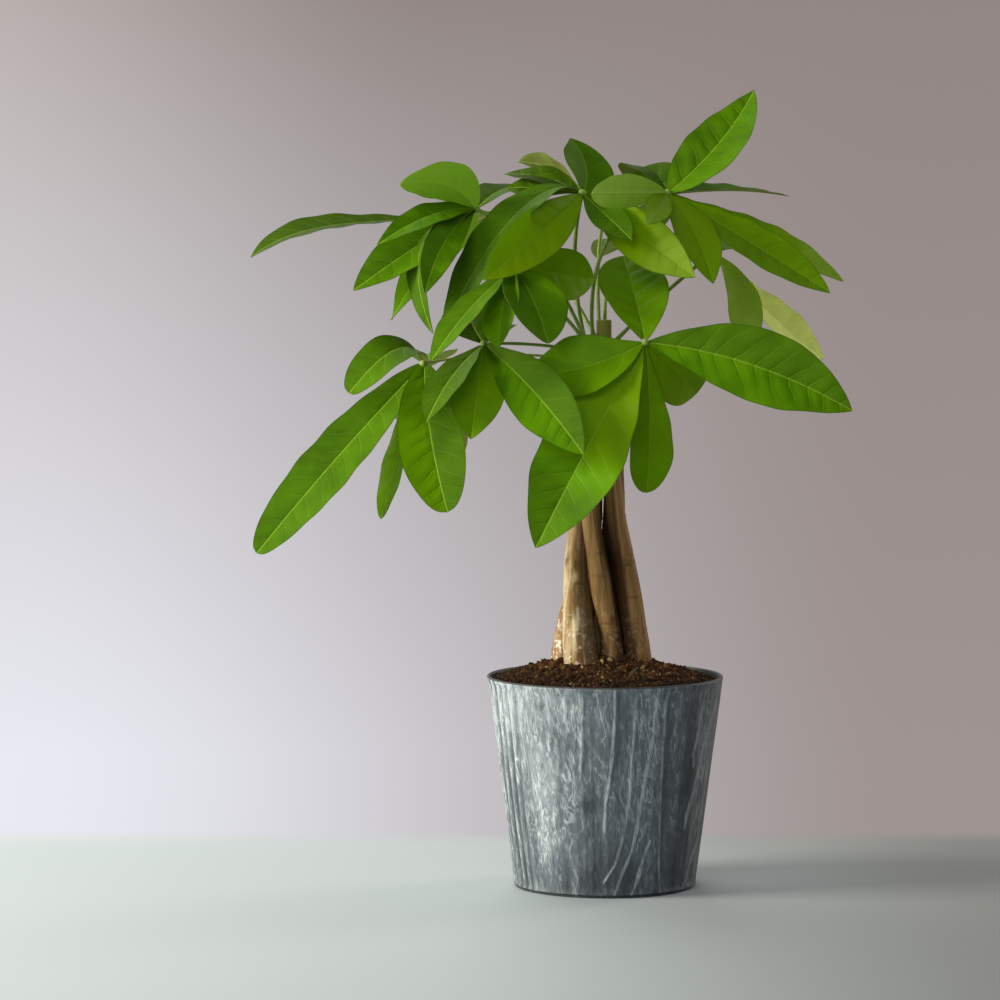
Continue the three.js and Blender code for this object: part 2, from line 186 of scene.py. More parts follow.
# %% [markdown]
# ## Table top, backdrop and light
#
# The tree stands on a pale table top in soft daylight from the left. Behind it a plain card runs on
# from the table and curves up. A painted wall would darken wherever the tree shades it. A card that
# glows faintly keeps its even tone whatever falls on it, and it lets light and view through from
# behind, so the tree can be looked at from all sides. The broad lamps stand in for a window: a large
# lamp gives the soft edge of real daylight.

# %% Table and card paint
def table_paint(t):
    """Matt paint darkened by painted shade away from the window, and how far right and up each point is."""
    place = add(t, "TexCoord", out="Object")
    right, _, up = add(t, "SeparateXYZ", [place]).node.outputs
    across = add(t, "MapRange", [right, -0.12, 0.28], interpolation_type="SMOOTHSTEP")
    tint = add(t, "Mix", [across, "#99a5a6", "#6d7371"], data_type="RGBA")
    return add(t, "BsdfPrincipled", {"Base Color": tint, "Roughness": 0.75}), right, up


floor_material, t = new_material("pale table top")
add(t, "OutputMaterial", [table_paint(t)[0]])

card, t = new_material("glowing studio card")
paint, right, up = table_paint(t)
# The glow is painted light: brightest low on the left, towards the window, and dimmer to the right and
# towards the top.
rightness = add(t, "MapRange", [right, -0.42, 0.22], interpolation_type="SMOOTHSTEP")
top_right = add(t, "MapRange", [right, -0.5, -0.1], interpolation_type="SMOOTHSTEP")
low = add(t, "Mix", [rightness, "#e9eaf2", "#9f9492"], data_type="RGBA")
high = add(t, "Mix", [top_right, "#bdb4b2", "#928784"], data_type="RGBA")
height = add(t, "MapRange", [up, 0.05, 0.58])
tone = add(t, "Mix", [height, low, high], data_type="RGBA")
glow = add(t, "Emission", {"Color": tone, "Strength": 1})
rise = add(t, "MapRange", [up, 0.0003, 0.007], interpolation_type="SMOOTHSTEP")
front = add(t, "MixShader", [rise, paint, glow])
from_behind = add(t, "NewGeometry", out="Backfacing")
both = add(t, "MixShader", [from_behind, front, add(t, "BsdfTransparent")])
add(t, "OutputMaterial", [both])
print("card paint:", len(t.nodes), "nodes")

# %% Table top and card
CARD_FOOT = 150
CARD_BEND = 150
CARD_TOP = 700
CARD_HALF_WIDTH = 700
TABLE_REACH = 6000

turns = [math.radians(a) for a in range(0, 91, 3)]
curve = [(CARD_FOOT + CARD_BEND * math.sin(a), CARD_BEND * (1 - math.cos(a))) for a in turns]
curve.append((CARD_FOOT + CARD_BEND, CARD_TOP))
points = [(x, y, z) for y, z in curve for x in (-CARD_HALF_WIDTH, CARD_HALF_WIDTH)]
faces = [(2 * i, 2 * i + 1, 2 * i + 3, 2 * i + 2) for i in range(len(curve) - 1)]
backdrop = mesh_object("backdrop_card", points, faces, [card])
backdrop.visible_shadow = False
far, wide = TABLE_REACH, CARD_HALF_WIDTH
points = [(-far, -far, 0), (far, -far, 0), (-far, CARD_FOOT, 0), (-wide, CARD_FOOT, 0), (wide, CARD_FOOT, 0),
          (far, CARD_FOOT, 0), (-far, far, 0), (-wide, far, 0), (wide, far, 0), (far, far, 0)]
faces = [(0, 1, 5, 4, 3, 2), (2, 3, 7, 6), (3, 4, 8, 7), (4, 5, 9, 8)]
floor = mesh_object("table_top", points, faces, [floor_material])
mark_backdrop(backdrop, floor)
print("table top and a card of", len(curve), "rows")

# %% Lamps and sky
SKY_STRENGTH = 0.36
# each lamp: where it is and what it faces, its width and height, all in metres, its watts and colour
LAMPS = {
    "window left": ((-1.35, -0.35, 0.80), (0, 0, 0.25), (0.6, 0.8), 38, "#fff4e6"),
    "window behind": ((-0.45, 1.15, 1.15), (0, 0, 0.34), (1.3, 0.9), 13, "#fffdf6"),
    "room front": ((-0.8, -2.3, 1.7), (0, 0, 0.25), (1.6, 1.4), 30, "#f6f7ff"),
    "room right": ((1.15, 0.75, 0.75), (0, 0, 0.30), (0.5, 0.8), 9, "#fff0e8"),
}
for name, (place, target, size, watts, tint) in LAMPS.items():
    lamp = bpy.data.lights.new(name, "AREA")
    lamp.shape = "RECTANGLE"
    lamp.size, lamp.size_y = size
    lamp.energy = watts
    lamp.color = srgb(tint)[:3]
    holder = bpy.data.objects.new(name, lamp)
    scene.collection.objects.link(holder)
    holder.location = place
    away = holder.location - type(holder.location)(target)
    holder.rotation_euler = away.to_track_quat("Z", "Y").to_euler()
sky = bpy.data.worlds.new("soft room light")
scene.world = sky
sky.use_nodes = True
room = sky.node_tree.nodes["Background"].inputs
room["Color"].default_value = srgb("#c9c8cf")
room["Strength"].default_value = SKY_STRENGTH
print("lamps:", ", ".join(LAMPS))

# %% [markdown]
# ## The leaves
#
# A money tree's leaf is palmate: five to nine leaflets fan out from the end of a long stalk. Each
# leaflet is a thin blade with a strong midrib and about a dozen side veins, and the skin between two
# veins swells a little, as on a quilt. A subdivision cage for each blade would take long to shape by
# hand. A blade follows a rule, so it is computed: a bowed midline, a width along it, and a height
# that depends on the distance from the veins. The same numbers stay on the mesh for the material.

# %% Where each leaf is
BLADE_START = 1.9
TOWARDS_FRONT = np.array([0, -1, 0.07]) / math.hypot(1, 0.07)


def leaflet(tip, width, face, arch=6, sweep=0, late=1, belly=1.2, round=0.8, far=False,
            tone=0.0, end=0.0, half=0.0):
    """One leaflet in mm, from the hub to its tip, width across its widest part.

    face is how squarely its upper side turns to the front: below 0 the underside shows, and with
    None it lies as it hangs. arch lifts its middle, sweep bends it sideways, and late moves both
    towards the tip. belly moves the widest part towards the tip, and round makes the ends blunter.
    tone runs from dark, -1, over fresh, 1, to faded, 2.4, and also carries painted light and shade,
    set for each leaflet by how the light falls on it. end adds to it near the tip, and half on one
    side of the midrib: a darker end paints shade on a tip in shadow, and half paints shade on the half
    turned from the light. A far leaflet has fewer faces.
    """
    return {**locals(), "tip": np.array(tip, float)}


LEAVES = {
    "leaf_a": dict(foot=(2.7, -14.3, 324), bend=(12, -48, 330), hub=(23, -70, 350), blades=[
        leaflet((11, 5, 402), 46, None, 5, round=0.7, tone=0.15),
        leaflet((149, -100, 309), 50, 0.93, 5, belly=1.15, sweep=-6.5, tone=-0.1, half=-0.65),
        leaflet((57, -22, 316), 38, 0.8, 8, round=0.65, tone=0.8),
        leaflet((24.5, -62, 256), 33, 0.85, 5, belly=2.1, round=0.5, tone=0.4),
        leaflet((-45, -105, 225), 55, 0.95, 4, belly=1.25, sweep=0.5, tone=0.6, end=-1.1),
        leaflet((-51, -60, 329), 46, 0.85, 5, sweep=-8, tone=0.2)]),
    "leaf_b": dict(slim=0.75, foot=(-17.9, -10.4, 343), bend=(-50, -28, 349), hub=(-77, -45, 348), blades=[
        leaflet((-16, -118, 283), 38, 0.85, 4, sweep=-3, tone=-0.2, half=-0.7),
        leaflet((-85, -88, 291), 36, 0.85, 6, tone=0.3),
        leaflet((-112, -98, 302), 30, 0.5, 6, tone=-1.0),
        leaflet((-87, -2, 374), 36, 0.7, 4, sweep=-3, tone=-0.9),
        leaflet((-66, 12, 357), 30, None, 4, tone=-0.6)]),
    "leaf_c": dict(slim=0.6, foot=(-21, 3.8, 337), bend=(-70, 2, 343), hub=(-115, -25, 335), blades=[
        leaflet((-161, -62, 318), 32, 0.55, 20, late=0.75, round=0.4, belly=1.15, tone=-0.95, end=0.2),
        leaflet((-219, -60, 218), 38, 0.85, 6, sweep=-1, round=0.45, belly=1.25, tone=-0.7),
        leaflet((-142, -40, 238), 24, 0.6, 2, sweep=-2, round=0.6, belly=1.6, tone=0.3),
        leaflet((-99.5, -92, 246), 42, 0.95, 5, sweep=3, round=0.46, belly=1.25, tone=0.1, half=-1.1),
        leaflet((-112, 62, 330), 40, None, 8, far=True)]),
    "leaf_d": dict(foot=(-12, -5, 346.9), bend=(-38, -8, 410), hub=(-82, -15, 432), blades=[
        leaflet((-128, -75, 449), 36, -0.45, 4, round=0.6, sweep=-8, tone=0.95),
        leaflet((-223, -40, 402), 40, 0.32, 10.7, belly=2.2, late=2, tone=-1.4),
        leaflet((-158, -62, 382), 36, 0.7, 5, sweep=-2, belly=1.15, tone=-0.5),
        leaflet((-135, -48, 363), 30, 0.7, 6, belly=1.1, round=1.3, tone=-0.1),
        leaflet((-143, -75, 410), 22, 0.55, 9, belly=1, tone=-0.4),
        leaflet((-113, -98, 381), 22, 0.75, 5, sweep=6, tone=-0.3),
        leaflet((-108.5, -78, 356), 24, 0.25, 26, late=0.9, round=0.7, tone=-1.1, end=0.1),
        leaflet((-101, 10, 398), 26, -0.6, 4, tone=1),
        leaflet((-50, 52, 446), 34, None, 6, far=True, tone=-1)]),
    "leaf_e": dict(foot=(-12.6, 4.9, 346.7), bend=(-25, 6, 400), hub=(-15, -10, 442), blades=[
        leaflet((-55, 45, 462), 24, -0.2, 7, tone=-1.6),
        leaflet((-64, 20, 454), 30, 0.4, 5, tone=-1.3),
        leaflet((-63, 0, 445), 34, 0.5, 3, tone=-0.9),
        leaflet((-77, -92, 389), 33, 0.8, 9, sweep=-1.5, tone=1.1),
        leaflet((-103, -54, 354), 44, 0.5, 26, sweep=-3, late=0.66, belly=0.95, tone=-0.7),
        leaflet((54, -62, 390), 32, 0.9, 1, tone=1.15, end=0.15),
        leaflet((15, -52, 413), 22, 0.7, 1, tone=-0.8),
        leaflet((-22, 25, 477), 38, 0.6, 3, sweep=6, belly=1, tone=-0.5)]),
    "leaf_f": dict(foot=(-7.4, 8.8, 346.6), bend=(-16, 0, 424), hub=(39, -5, 442), blades=[
        leaflet((96, 40, 508), 41, 0.75, 3, belly=0.82, round=0.9, sweep=7, tone=-0.6, end=0.4),
        leaflet((14, 26, 452), 40, 0.5, 3, sweep=3, round=0.5, tone=-1.3),
        leaflet((120, 65, 440), 34, 0.15, 4, belly=0.7, round=1.1, tone=-0.3),
        leaflet((139, -45, 380), 34, 0.72, 3, sweep=1, belly=1.35, tone=0.5),
        leaflet((152, 15, 386), 34, 0.5, 4, belly=1.6, tone=0.2, end=1.0),
        leaflet((66, -50, 386), 30, 0.75, 8, tone=1.2),
        leaflet((24, -82, 423), 18, 0.6, 2, tone=1),
        leaflet((-10.5, -92, 442.5), 24, -0.45, 2, round=0.6, tone=0.8),
        leaflet((19, 75, 448), 38, None, 14, far=True, tone=-1)]),
    "leaf_g": dict(foot=(5.6, 3.7, 347.4), bend=(34, 14, 376), hub=(70, 40, 404), blades=[
        leaflet((87, 18, 343), 26, 0.85, 6, belly=1.6, round=0.6, sweep=-8, tone=1.4),
        leaflet((143, 62, 335), 36, 0.6, 0, belly=1.9, sweep=4, tone=2.9),
        leaflet((122, 118, 394), 34, None, 8, far=True)]),
    "leaf_h": dict(foot=(-12.6, -9.7, 347.5), bend=(-30, -34, 372), hub=(-58, -60, 396), blades=[
        leaflet((-8, -12, 388), 34, 0.75, 3, round=0.6, tone=0.8),
        leaflet((-37.5, -92, 350), 45, 0.7, 5, belly=1, round=0.65, tone=-0.3),
        leaflet((-109, -104, 340), 30, 0.5, 5, tone=-0.6),
        leaflet((-68, -88, 347), 34, 0.6, 4)]),
}
# the leaves at the back: foot, bend and hub of the stalk, then the tip, width and arch of each leaflet
BACK_LEAVES = {
    "leaf_i": ((-4.6, 12.3, 347.3), (-30, 45, 400), (-70, 80, 428), [
        ((-97, 150, 406), 36, 7), ((-67, 180, 408), 38, 9), ((-27, 152, 416), 36, 7),
        ((-64, 120, 384), 34, 7)]),
    "leaf_j": ((-3, 8, 346.8), (-8, 30, 420), (6, 66, 438), [
        ((-26, 138, 442), 36, 7), ((8, 160, 430), 40, 9), ((42, 150, 420), 38, 8),
        ((62, 120, 428), 34, 7)]),
    "leaf_k": ((1.2, 2.9, 347.2), (-6, 42, 400), (31, 98, 408), [
        ((66, 168, 394), 36, 7), ((27, 186, 392), 38, 8), ((-2, 158, 398), 34, 7),
        ((94, 150, 404), 36, 7)]),
    "leaf_l": ((-6.4, 16, 335), (-16, 46, 345), (-25, 72, 332), [
        ((-56, 132, 312), 36, 8), ((-18, 162, 300), 40, 9), ((16, 138, 304), 36, 8),
        ((-28, 112, 276), 34, 6), ((10, 96, 280), 34, 6)]),
    "leaf_m": ((9.3, 5.7, 333), (44, 32, 340), (82, 60, 334), [
        ((127, 108, 314), 36, 7), ((106, 150, 312), 38, 9), ((66, 134, 318), 36, 8),
        ((142, 66, 318), 32, 6)]),
    "leaf_n": ((-21, 6.2, 322), (-60, 30, 328), (-104, 50, 310), [
        ((-106, 92, 252), 36, 7), ((-128, 142, 282), 38, 9), ((-92, 146, 284), 36, 8),
        ((-164, 100, 280), 36, 8)]),
}
for name, (foot, bend, hub, blades) in BACK_LEAVES.items():
    blades = [leaflet(tip, width, None, arch, far=True) for tip, width, arch in blades]
    LEAVES[name] = dict(foot=foot, bend=bend, hub=hub, blades=blades)
print(len(LEAVES), "leaves,", sum(len(leaf["blades"]) for leaf in LEAVES.values()), "leaflets")

# %% [markdown]
# ## One leaflet
#
# The blade hangs on a bowed line from the hub to its tip. It is rolled about that line until its
# upper side meets the light as it should. Across, it folds up a little on both sides of the midrib.
# Two skins, half a millimetre apart and joined at the margin, make it a thin closed solid, so light
# can pass through it. Vertices stand closest together near the midrib, where the form is finest.

# %% Leaflet mesh
BLADE_THICK = 0.5
VEIN_SPACING = 12
VEIN_LEAD = 0.58
QUILT_RISE = 0.75
RIB_DEEP = 0.9
RIB_HALF_WIDTH = 0.95
GROOVE_DEEP = 0.3
MARGIN_WAVE = 0.5
WAVE_LENGTHS = 26, 23
UNEVEN_MARGIN = 0.04
MARGIN_BEAT = 58
VEIN_WANDER = 37
FOLD = 0.16
TURN = 2 * math.pi
ROWS_NEAR, COLUMNS_NEAR = 64, 17
ROWS_FAR, COLUMNS_FAR = 40, 13


def blade_mesh(hub, b, seed):
    """Points, faces and per-point values of one leaflet, in mm."""
    rng = np.random.default_rng(seed)
    rows, columns = (ROWS_FAR, COLUMNS_FAR) if b["far"] else (ROWS_NEAR, COLUMNS_NEAR)
    chord = b["tip"] - hub
    span = np.linalg.norm(chord)
    along = chord / span
    up = unit(np.array([0, 0, 1]) - along * along[2])
    side = np.cross(along, up)
    # the blade is rolled about its line, the shorter way, until it faces the front as asked
    roll = 0.0
    if b["face"] is not None:
        p, q = up @ TOWARDS_FRONT, side @ TOWARDS_FRONT
        opened = math.acos(min(1, max(-1, b["face"] / math.hypot(p, q))))
        base = math.atan2(q, p)
        wrapped = [math.atan2(math.sin(v), math.cos(v)) for v in (base + opened, base - opened)]
        roll = min(wrapped, key=abs)
    over = up * math.cos(roll) + side * math.sin(roll)
    level = side * math.cos(roll) - up * math.sin(roll)

    def midline(k):
        s = np.clip(k, 0, 1)[:, None] ** b["late"]
        bow = 4 * s * (1 - s)
        return hub + chord * np.clip(k, 0, 1)[:, None] + (over * b["arch"] + level * b["sweep"]) * bow

    first = BLADE_START / math.hypot(span, 4 * b["arch"], 4 * b["sweep"])
    # rows stand closer together at both ends
    steps = np.linspace(0, 1, rows)
    steps = 0.55 * steps + 0.45 * (0.5 - 0.5 * np.cos(math.pi * steps))
    t = first + (1 - first) * steps
    centre = midline(t)
    tangent = unit(midline(t + 0.02) - midline(t - 0.02))
    across = unit(level - tangent * (tangent @ level)[:, None])
    normal = np.cross(across, tangent)
    # the outline is a sine that belly and round reshape, with a slightly uneven margin
    half = b["width"] / 2 * np.maximum(0, np.sin(math.pi * t ** b["belly"])) ** b["round"]
    half = np.maximum(np.where(t < 0.5, 1.1, 0.5), half)
    beat = t * span / MARGIN_BEAT + rng.uniform(0, 1)
    sway = 2.5 * np.sin(TURN * beat / 2.7)
    trim = 1 - UNEVEN_MARGIN * (0.5 + 0.5 * np.sin(TURN * beat + sway))

    # columns stand closest together at the midrib
    s = np.linspace(-1, 1, columns)
    x = np.sign(s) * np.abs(s) ** 1.35
    widths = np.stack([half * trim[::-1], half * trim])[(x > 0).astype(int)].T
    away = np.abs(x)[None, :] * widths
    # side veins run forward as they leave the midrib, and the skin swells between them
    lead = VEIN_LEAD * away * (1 + 0.012 * away)
    uneven = 0.12 * np.sin(TURN * t * span / VEIN_WANDER + rng.uniform(0, 6))[:, None]
    vein = (t[:, None] * span - lead) / VEIN_SPACING + rng.uniform(0, 1) + uneven
    swell = np.abs(np.sin(math.pi * vein)) ** 0.8
    body = np.clip(away / 2.5, 0, 1) * np.clip((widths - away) / 8, 0, 1) * (1 - 0.5 * np.abs(x)[None, :])
    quilt = QUILT_RISE * (swell - 0.5) * body
    # each margin waves in its own rhythm
    phase = rng.uniform(0, TURN, 2)
    wave = sum(np.sin(TURN * t * span / length + start)[:, None] * where
               for length, start, where in zip(WAVE_LENGTHS, phase, (x > 0, x < 0)))
    wave = MARGIN_WAVE * wave * np.abs(x) ** 2.5 * (np.sin(math.pi * t) ** 0.6)[:, None]
    # both halves rise from the midrib, which is a groove above and a ridge below
    fold = FOLD * half[:, None] * (np.abs(x)[None, :] ** 1.3 - 0.35)
    height = fold + quilt + wave
    rib = np.exp(-((away / RIB_HALF_WIDTH) ** 2)) * ((1 - t) ** 0.6)[:, None]
    thick = BLADE_THICK * (1 - 0.6 * np.abs(x)[None, :] ** 6)
    top = height + thick / 2 - GROOVE_DEEP * rib
    bottom = height - thick / 2 - RIB_DEEP * rib

    # the two skins are joined all round, and both point outwards
    flat = centre[:, None, :] + across[:, None, :] * (widths * x)[:, :, None]
    skins = [(flat + normal[:, None, :] * h[:, :, None]).reshape(-1, 3) for h in (top, bottom)]
    ids = np.arange(rows * columns).reshape(rows, columns)
    n = rows * columns
    quads = np.stack([ids[:-1, :-1], ids[:-1, 1:], ids[1:, 1:], ids[1:, :-1]], -1).reshape(-1, 4)
    rim = np.concatenate([ids[0, :-1], ids[:-1, -1], ids[-1, :0:-1], ids[:0:-1, 0]])
    after = np.roll(rim, -1)
    walls = np.stack([rim, rim + n, after + n, after], -1)
    faces = np.concatenate([quads, quads[:, ::-1] + n, walls])
    # the material reads where the midrib, the veins and the margin are, and the tone: how fresh the skin
    # is, with the painted light and shade of each leaflet
    signed = np.sign(x)[None, :] * away
    ripe = np.clip((t - 0.45) / 0.35, 0, 1)
    ripe = ripe * ripe * (3 - 2 * ripe)
    # painted light and shade: tone holds it for each leaflet, a negative end darkens a tip in shadow, and
    # half darkens the side turned from the light
    shade = b["tone"] + b["end"] * ripe[:, None] + b["half"] * (x < -0.02)[None, :]
    values = {
        "rib_mm": np.tile(signed.ravel(), 2),
        "vein_run": np.tile(vein.ravel(), 2),
        "margin_mm": np.tile((widths - away).ravel(), 2),
        "under": np.repeat([0.0, 1.0], n),
        "tone": np.tile(shade.ravel(), 2) + rng.uniform(-0.15, 0.15),
    }
    return np.concatenate(skins), faces, values


points, faces, values = blade_mesh(np.zeros(3), leaflet((100, 0, 0), 40, None), 1)
print("one leaflet:", len(points), "points,", len(faces), "faces")

# %% [markdown]
# ## The skin of a leaf
#
# A living leaf has a waxy, half-glossy upper skin and a paler, duller underside. Light that falls on
# the back comes through yellow-green, with the veins as darker or paler lines. A plain green paint
# would look like plastic, so the shader mixes a glossy coat of green with a translucent one. The midrib
# and the side veins are drawn from the distances kept on the mesh, so they stay sharp at any zoom.

# %% Leaf material
# A noise scale is one over the size of its cells in metres: 42 makes clouds of 24 mm, and 300 a grain
# of 3 mm. The net of the finest veins is 1.8 mm wide here. It is finer on a real leaf, where it
# wouldn't show at this size.
leaf_skin, t = new_material("living leaf")
place = add(t, "TexCoord", out="Object")
rib_mm, vein_run, margin_mm, under, tone = [
    add(t, "Attribute", out="Fac", attribute_name=name)
    for name in ("rib_mm", "vein_run", "margin_mm", "under", "tone")]
away = add(t, "Math", [rib_mm], operation="ABSOLUTE")
midrib = add(t, "MapRange", [away, 0.2, 0.65, 1, 0], interpolation_type="SMOOTHSTEP")
wander = add(t, "TexNoise", {"Vector": place, "Scale": 90, "Detail": 2})
shaken = add(t, "Math", [wander, 0.35, vein_run], operation="MULTIPLY_ADD")
between = add(t, "Math", [shaken, 0.5], operation="PINGPONG")
lateral = add(t, "MapRange", [between, 0.02, 0.085, 1, 0], interpolation_type="SMOOTHSTEP")
inside = add(t, "MapRange", [margin_mm, 0.6, 5, 0.15, 1])
lateral = add(t, "Math", [lateral, inside], operation="MULTIPLY")
half_lateral = add(t, "Math", [lateral, 0.12], operation="MULTIPLY")
veins = add(t, "Math", [midrib, half_lateral], operation="MAXIMUM")
net = add(t, "TexVoronoi", {"Vector": place, "Scale": 560}, feature="DISTANCE_TO_EDGE")
net = add(t, "MapRange", [net, 0, 0.12, 1, 0])
blotch = add(t, "TexNoise", {"Vector": place, "Scale": 42, "Detail": 4})
blotch = add(t, "MapRange", [blotch, 0.32, 0.68])
fine = add(t, "TexNoise", {"Vector": place, "Scale": 300, "Detail": 1})

green = add(t, "Mix", [blotch, "#447200", "#659b00"], data_type="RGBA")
swell = add(t, "MapRange", [between, 0, 0.5, 0, 0.45])
# Painted light and shade as well as age: tone pales lit and backlit leaflets and darkens shaded ones, besides
# marking fresh, old and faded skin.
young = add(t, "MapRange", [tone, 0, 1, 0, 0.8])
dull = add(t, "MapRange", [tone, 0, -1.2, 0, 0.9])
faded = add(t, "MapRange", [tone, 1.2, 2.4, 0, 0.95])
net_tint = add(t, "Math", [net, 0.05], operation="MULTIPLY")
vein_tint = add(t, "Math", [veins, 0.42], operation="MULTIPLY")
edge = add(t, "MapRange", [margin_mm, 0.1, 0.85, 0.7, 0])
for share, tint in ((swell, "#5b9000"), (young, "#94b60a"), (dull, "#2b4200"), (faded, "#f2fbac"),
                    (net_tint, "#8fb04a"), (vein_tint, "#9cbf3a"), (edge, "#2e4204")):
    green = add(t, "Mix", [share, green, tint], data_type="RGBA")
pale_back = add(t, "Mix", [blotch, "#9fa753", "#b5bc6d"], data_type="RGBA")
for part, most, tint in ((veins, 0.5, "#b5c48a"), (dull, 0.8, "#3d5210")):
    share = add(t, "Math", [part, most], operation="MULTIPLY")
    pale_back = add(t, "Mix", [share, pale_back, tint], data_type="RGBA")
colour = add(t, "Mix", [under, green, pale_back], data_type="RGBA")

groove = add(t, "Math", [veins, -1], operation="MULTIPLY")
flip = add(t, "MapRange", [under, 0, 1, 1, -1])
groove = add(t, "Math", [groove, flip], operation="MULTIPLY")
near_rib = add(t, "MapRange", [away, 0.5, 13, 1, 0.1])
crease = add(t, "Math", [lateral, near_rib], operation="MULTIPLY")
crease = add(t, "Math", [crease, -0.8, groove], operation="MULTIPLY_ADD")
puffed = add(t, "Math", [between, near_rib], operation="MULTIPLY")
relief = crease
for part, share in ((puffed, 1.2), (away, 0.5), (fine, 0.05)):
    relief = add(t, "Math", [part, share, relief], operation="MULTIPLY_ADD")
bump = add(t, "Bump", {"Strength": 0.5, "Distance": 0.0006, "Height": relief})
rough = add(t, "MapRange", [fine, 0, 1, 0.34, 0.52])
rough = add(t, "Math", [under, 0.2, rough], operation="MULTIPLY_ADD")
rough = add(t, "Math", [dull, 0.35, rough], operation="MULTIPLY_ADD", use_clamp=True)
wax = add(t, "BsdfPrincipled", {"Base Color": colour, "Roughness": rough, "IOR": 1.42, "Normal": bump,
          "Specular IOR Level": 0.07})
through = add(t, "Mix", [vein_tint, "#9cc400", "#b4d030"], data_type="RGBA")
through = add(t, "Mix", [faded, through, "#f6ffb2"], data_type="RGBA")
lit = add(t, "BsdfTranslucent", {"Color": through})
thin = add(t, "MapRange", [tone, -1, 1.4, 0.12, 0.62])
both = add(t, "MixShader", [thin, wax, lit])
add(t, "OutputMaterial", {"Surface": both})
print("leaf skin:", len(t.nodes), "nodes")

# %% [markdown]
# ## The skin of a stalk
#
# A leaf stalk has a smooth green rind with pale fibres along it, duller than a leaf and a little
# see-through, so it looks soft at its edges. One even green would look like wire. Noise that is
# stretched along Z draws the fibres, and a little light scatters under the surface.

# %% Stalk material
# The fibres are 1.1 mm wide and 8 mm long.
stalk_skin, t = new_material("green leaf stalk")
place = add(t, "TexCoord", out="Object")
streak = add(t, "Mapping", {"Vector": place, "Scale": (900, 900, 120)})
grain = add(t, "TexNoise", {"Vector": streak, "Scale": 1, "Detail": 3})
colour = add(t, "Mix", [grain, "#5c7d22", "#93ad4c"], data_type="RGBA")
bump = add(t, "Bump", {"Strength": 0.4, "Distance": 0.0002, "Height": grain})
wax = add(t, "BsdfPrincipled", {"Base Color": colour, "Roughness": 0.45, "IOR": 1.42, "Normal": bump,
          "Subsurface Weight": 0.15, "Subsurface Radius": (0.001, 0.0015, 0.0004)})
add(t, "OutputMaterial", {"Surface": wax})
print("stalk skin:", len(t.nodes), "nodes")

# %% [markdown]
# ## Stalks
#
# A stalk is a round rod that follows a path, thicker where it joins the stem and swollen at the hub.
# Geometry Nodes suit it: the path is a line of points with a girth at each, and the tree sweeps a
# circle along it. The swept result is turned into a plain mesh and joined to its leaflets.

# %% Stalk sweep tree
def new_tree(name, **inputs):
    """A Geometry Nodes tree that takes and gives a geometry, and the identifiers of its other inputs."""
    tree = bpy.data.node_groups.new(name, "GeometryNodeTree")
    tree.interface.new_socket("Geometry", in_out="OUTPUT", socket_type="NodeSocketGeometry")
    tree.interface.new_socket("Geometry", in_out="INPUT", socket_type="NodeSocketGeometry")
    identifiers = {}
    for key, kind in inputs.items():
        socket = tree.interface.new_socket(key, in_out="INPUT", socket_type="NodeSocket" + kind)
        identifiers[key] = socket.identifier
    return tree, identifiers, add(tree, "NodeGroupInput").node.outputs


def run_tree(thing, tree, identifiers, **values):
    """Runs the tree on an object, and leaves a plain mesh of its own without the modifier."""
    modifier = thing.modifiers.new(tree.name, "NODES")
    modifier.node_group = tree
    for key, value in values.items():
        modifier[identifiers[key]] = value
    graph = bpy.context.evaluated_depsgraph_get()
    data = bpy.data.meshes.new_from_object(thing.evaluated_get(graph))
    thing.modifiers.clear()
    thing.data = data


sweep, sweep_inputs, source = new_tree("sweep a stalk", Sides="Int", Skin="Material")
path = add(sweep, "GeometryNodeMeshToCurve", [source["Geometry"]])
girth = add(sweep, "GeometryNodeInputNamedAttribute", {"Name": "girth"}, data_type="FLOAT")
circle = add(sweep, "GeometryNodeCurvePrimitiveCircle", {"Resolution": source["Sides"], "Radius": 1})
swept = add(sweep, "GeometryNodeCurveToMesh", {"Curve": path, "Profile Curve": circle, "Scale": girth,
            "Fill Caps": True})
real = add(sweep, "GeometryNodeRealizeInstances", [swept])
skinned = add(sweep, "GeometryNodeSetMaterial", {"Geometry": real, "Material": source["Skin"]})
add(sweep, "NodeGroupOutput", [skinned])
print("stalk sweep:", len(sweep.nodes), "nodes")

# %% Stalk
STALK_RADIUS = 1.35
HUB_RADIUS = 2.7
STALK_ROWS = 44
STALK_SIDES = 12
PAST_HUB = 0.9, 1.7, 2.3, 2.6
USUAL_SLIMNESS = 0.95


def stalk(name, foot, bend, hub, slim):
    """A swept stalk from the stem to a little past the hub."""
    foot, bend, hub = (np.array(p, float) for p in (foot, bend, hub))
    s = np.linspace(0, 1, STALK_ROWS)[:, None]
    line = foot * (1 - s) ** 2 + bend * 2 * s * (1 - s) + hub * s * s
    line = np.concatenate([line, hub + unit(hub - bend) * np.array(PAST_HUB)[:, None]])
    span = np.linalg.norm(np.diff(line, axis=0), axis=1)
    run = np.concatenate([[0], np.cumsum(span)])
    to_hub = run[STALK_ROWS - 1] - run
    girth = slim * STALK_RADIUS * (1 + 0.35 * np.exp(-run / 5)) * (1 + 0.03 * np.sin(run / 3.1))
    knob = np.sqrt(np.clip(1 - (to_hub / HUB_RADIUS) ** 2, 0, 1)) * HUB_RADIUS
    girth = np.maximum(np.where(to_hub > -0.1, girth, 0.25), knob)
    data = bpy.data.meshes.new(name)
    data.from_pydata((line * MM).tolist(), [(i, i + 1) for i in range(len(line) - 1)], [])
    data.attributes.new("girth", "FLOAT", "POINT").data.foreach_set("value", (girth * MM).astype(np.float32))
    thing = bpy.data.objects.new(name, data)
    scene.collection.objects.link(thing)
    run_tree(thing, sweep, sweep_inputs, Sides=STALK_SIDES, Skin=stalk_skin)
    thing.data.shade_smooth()
    return thing


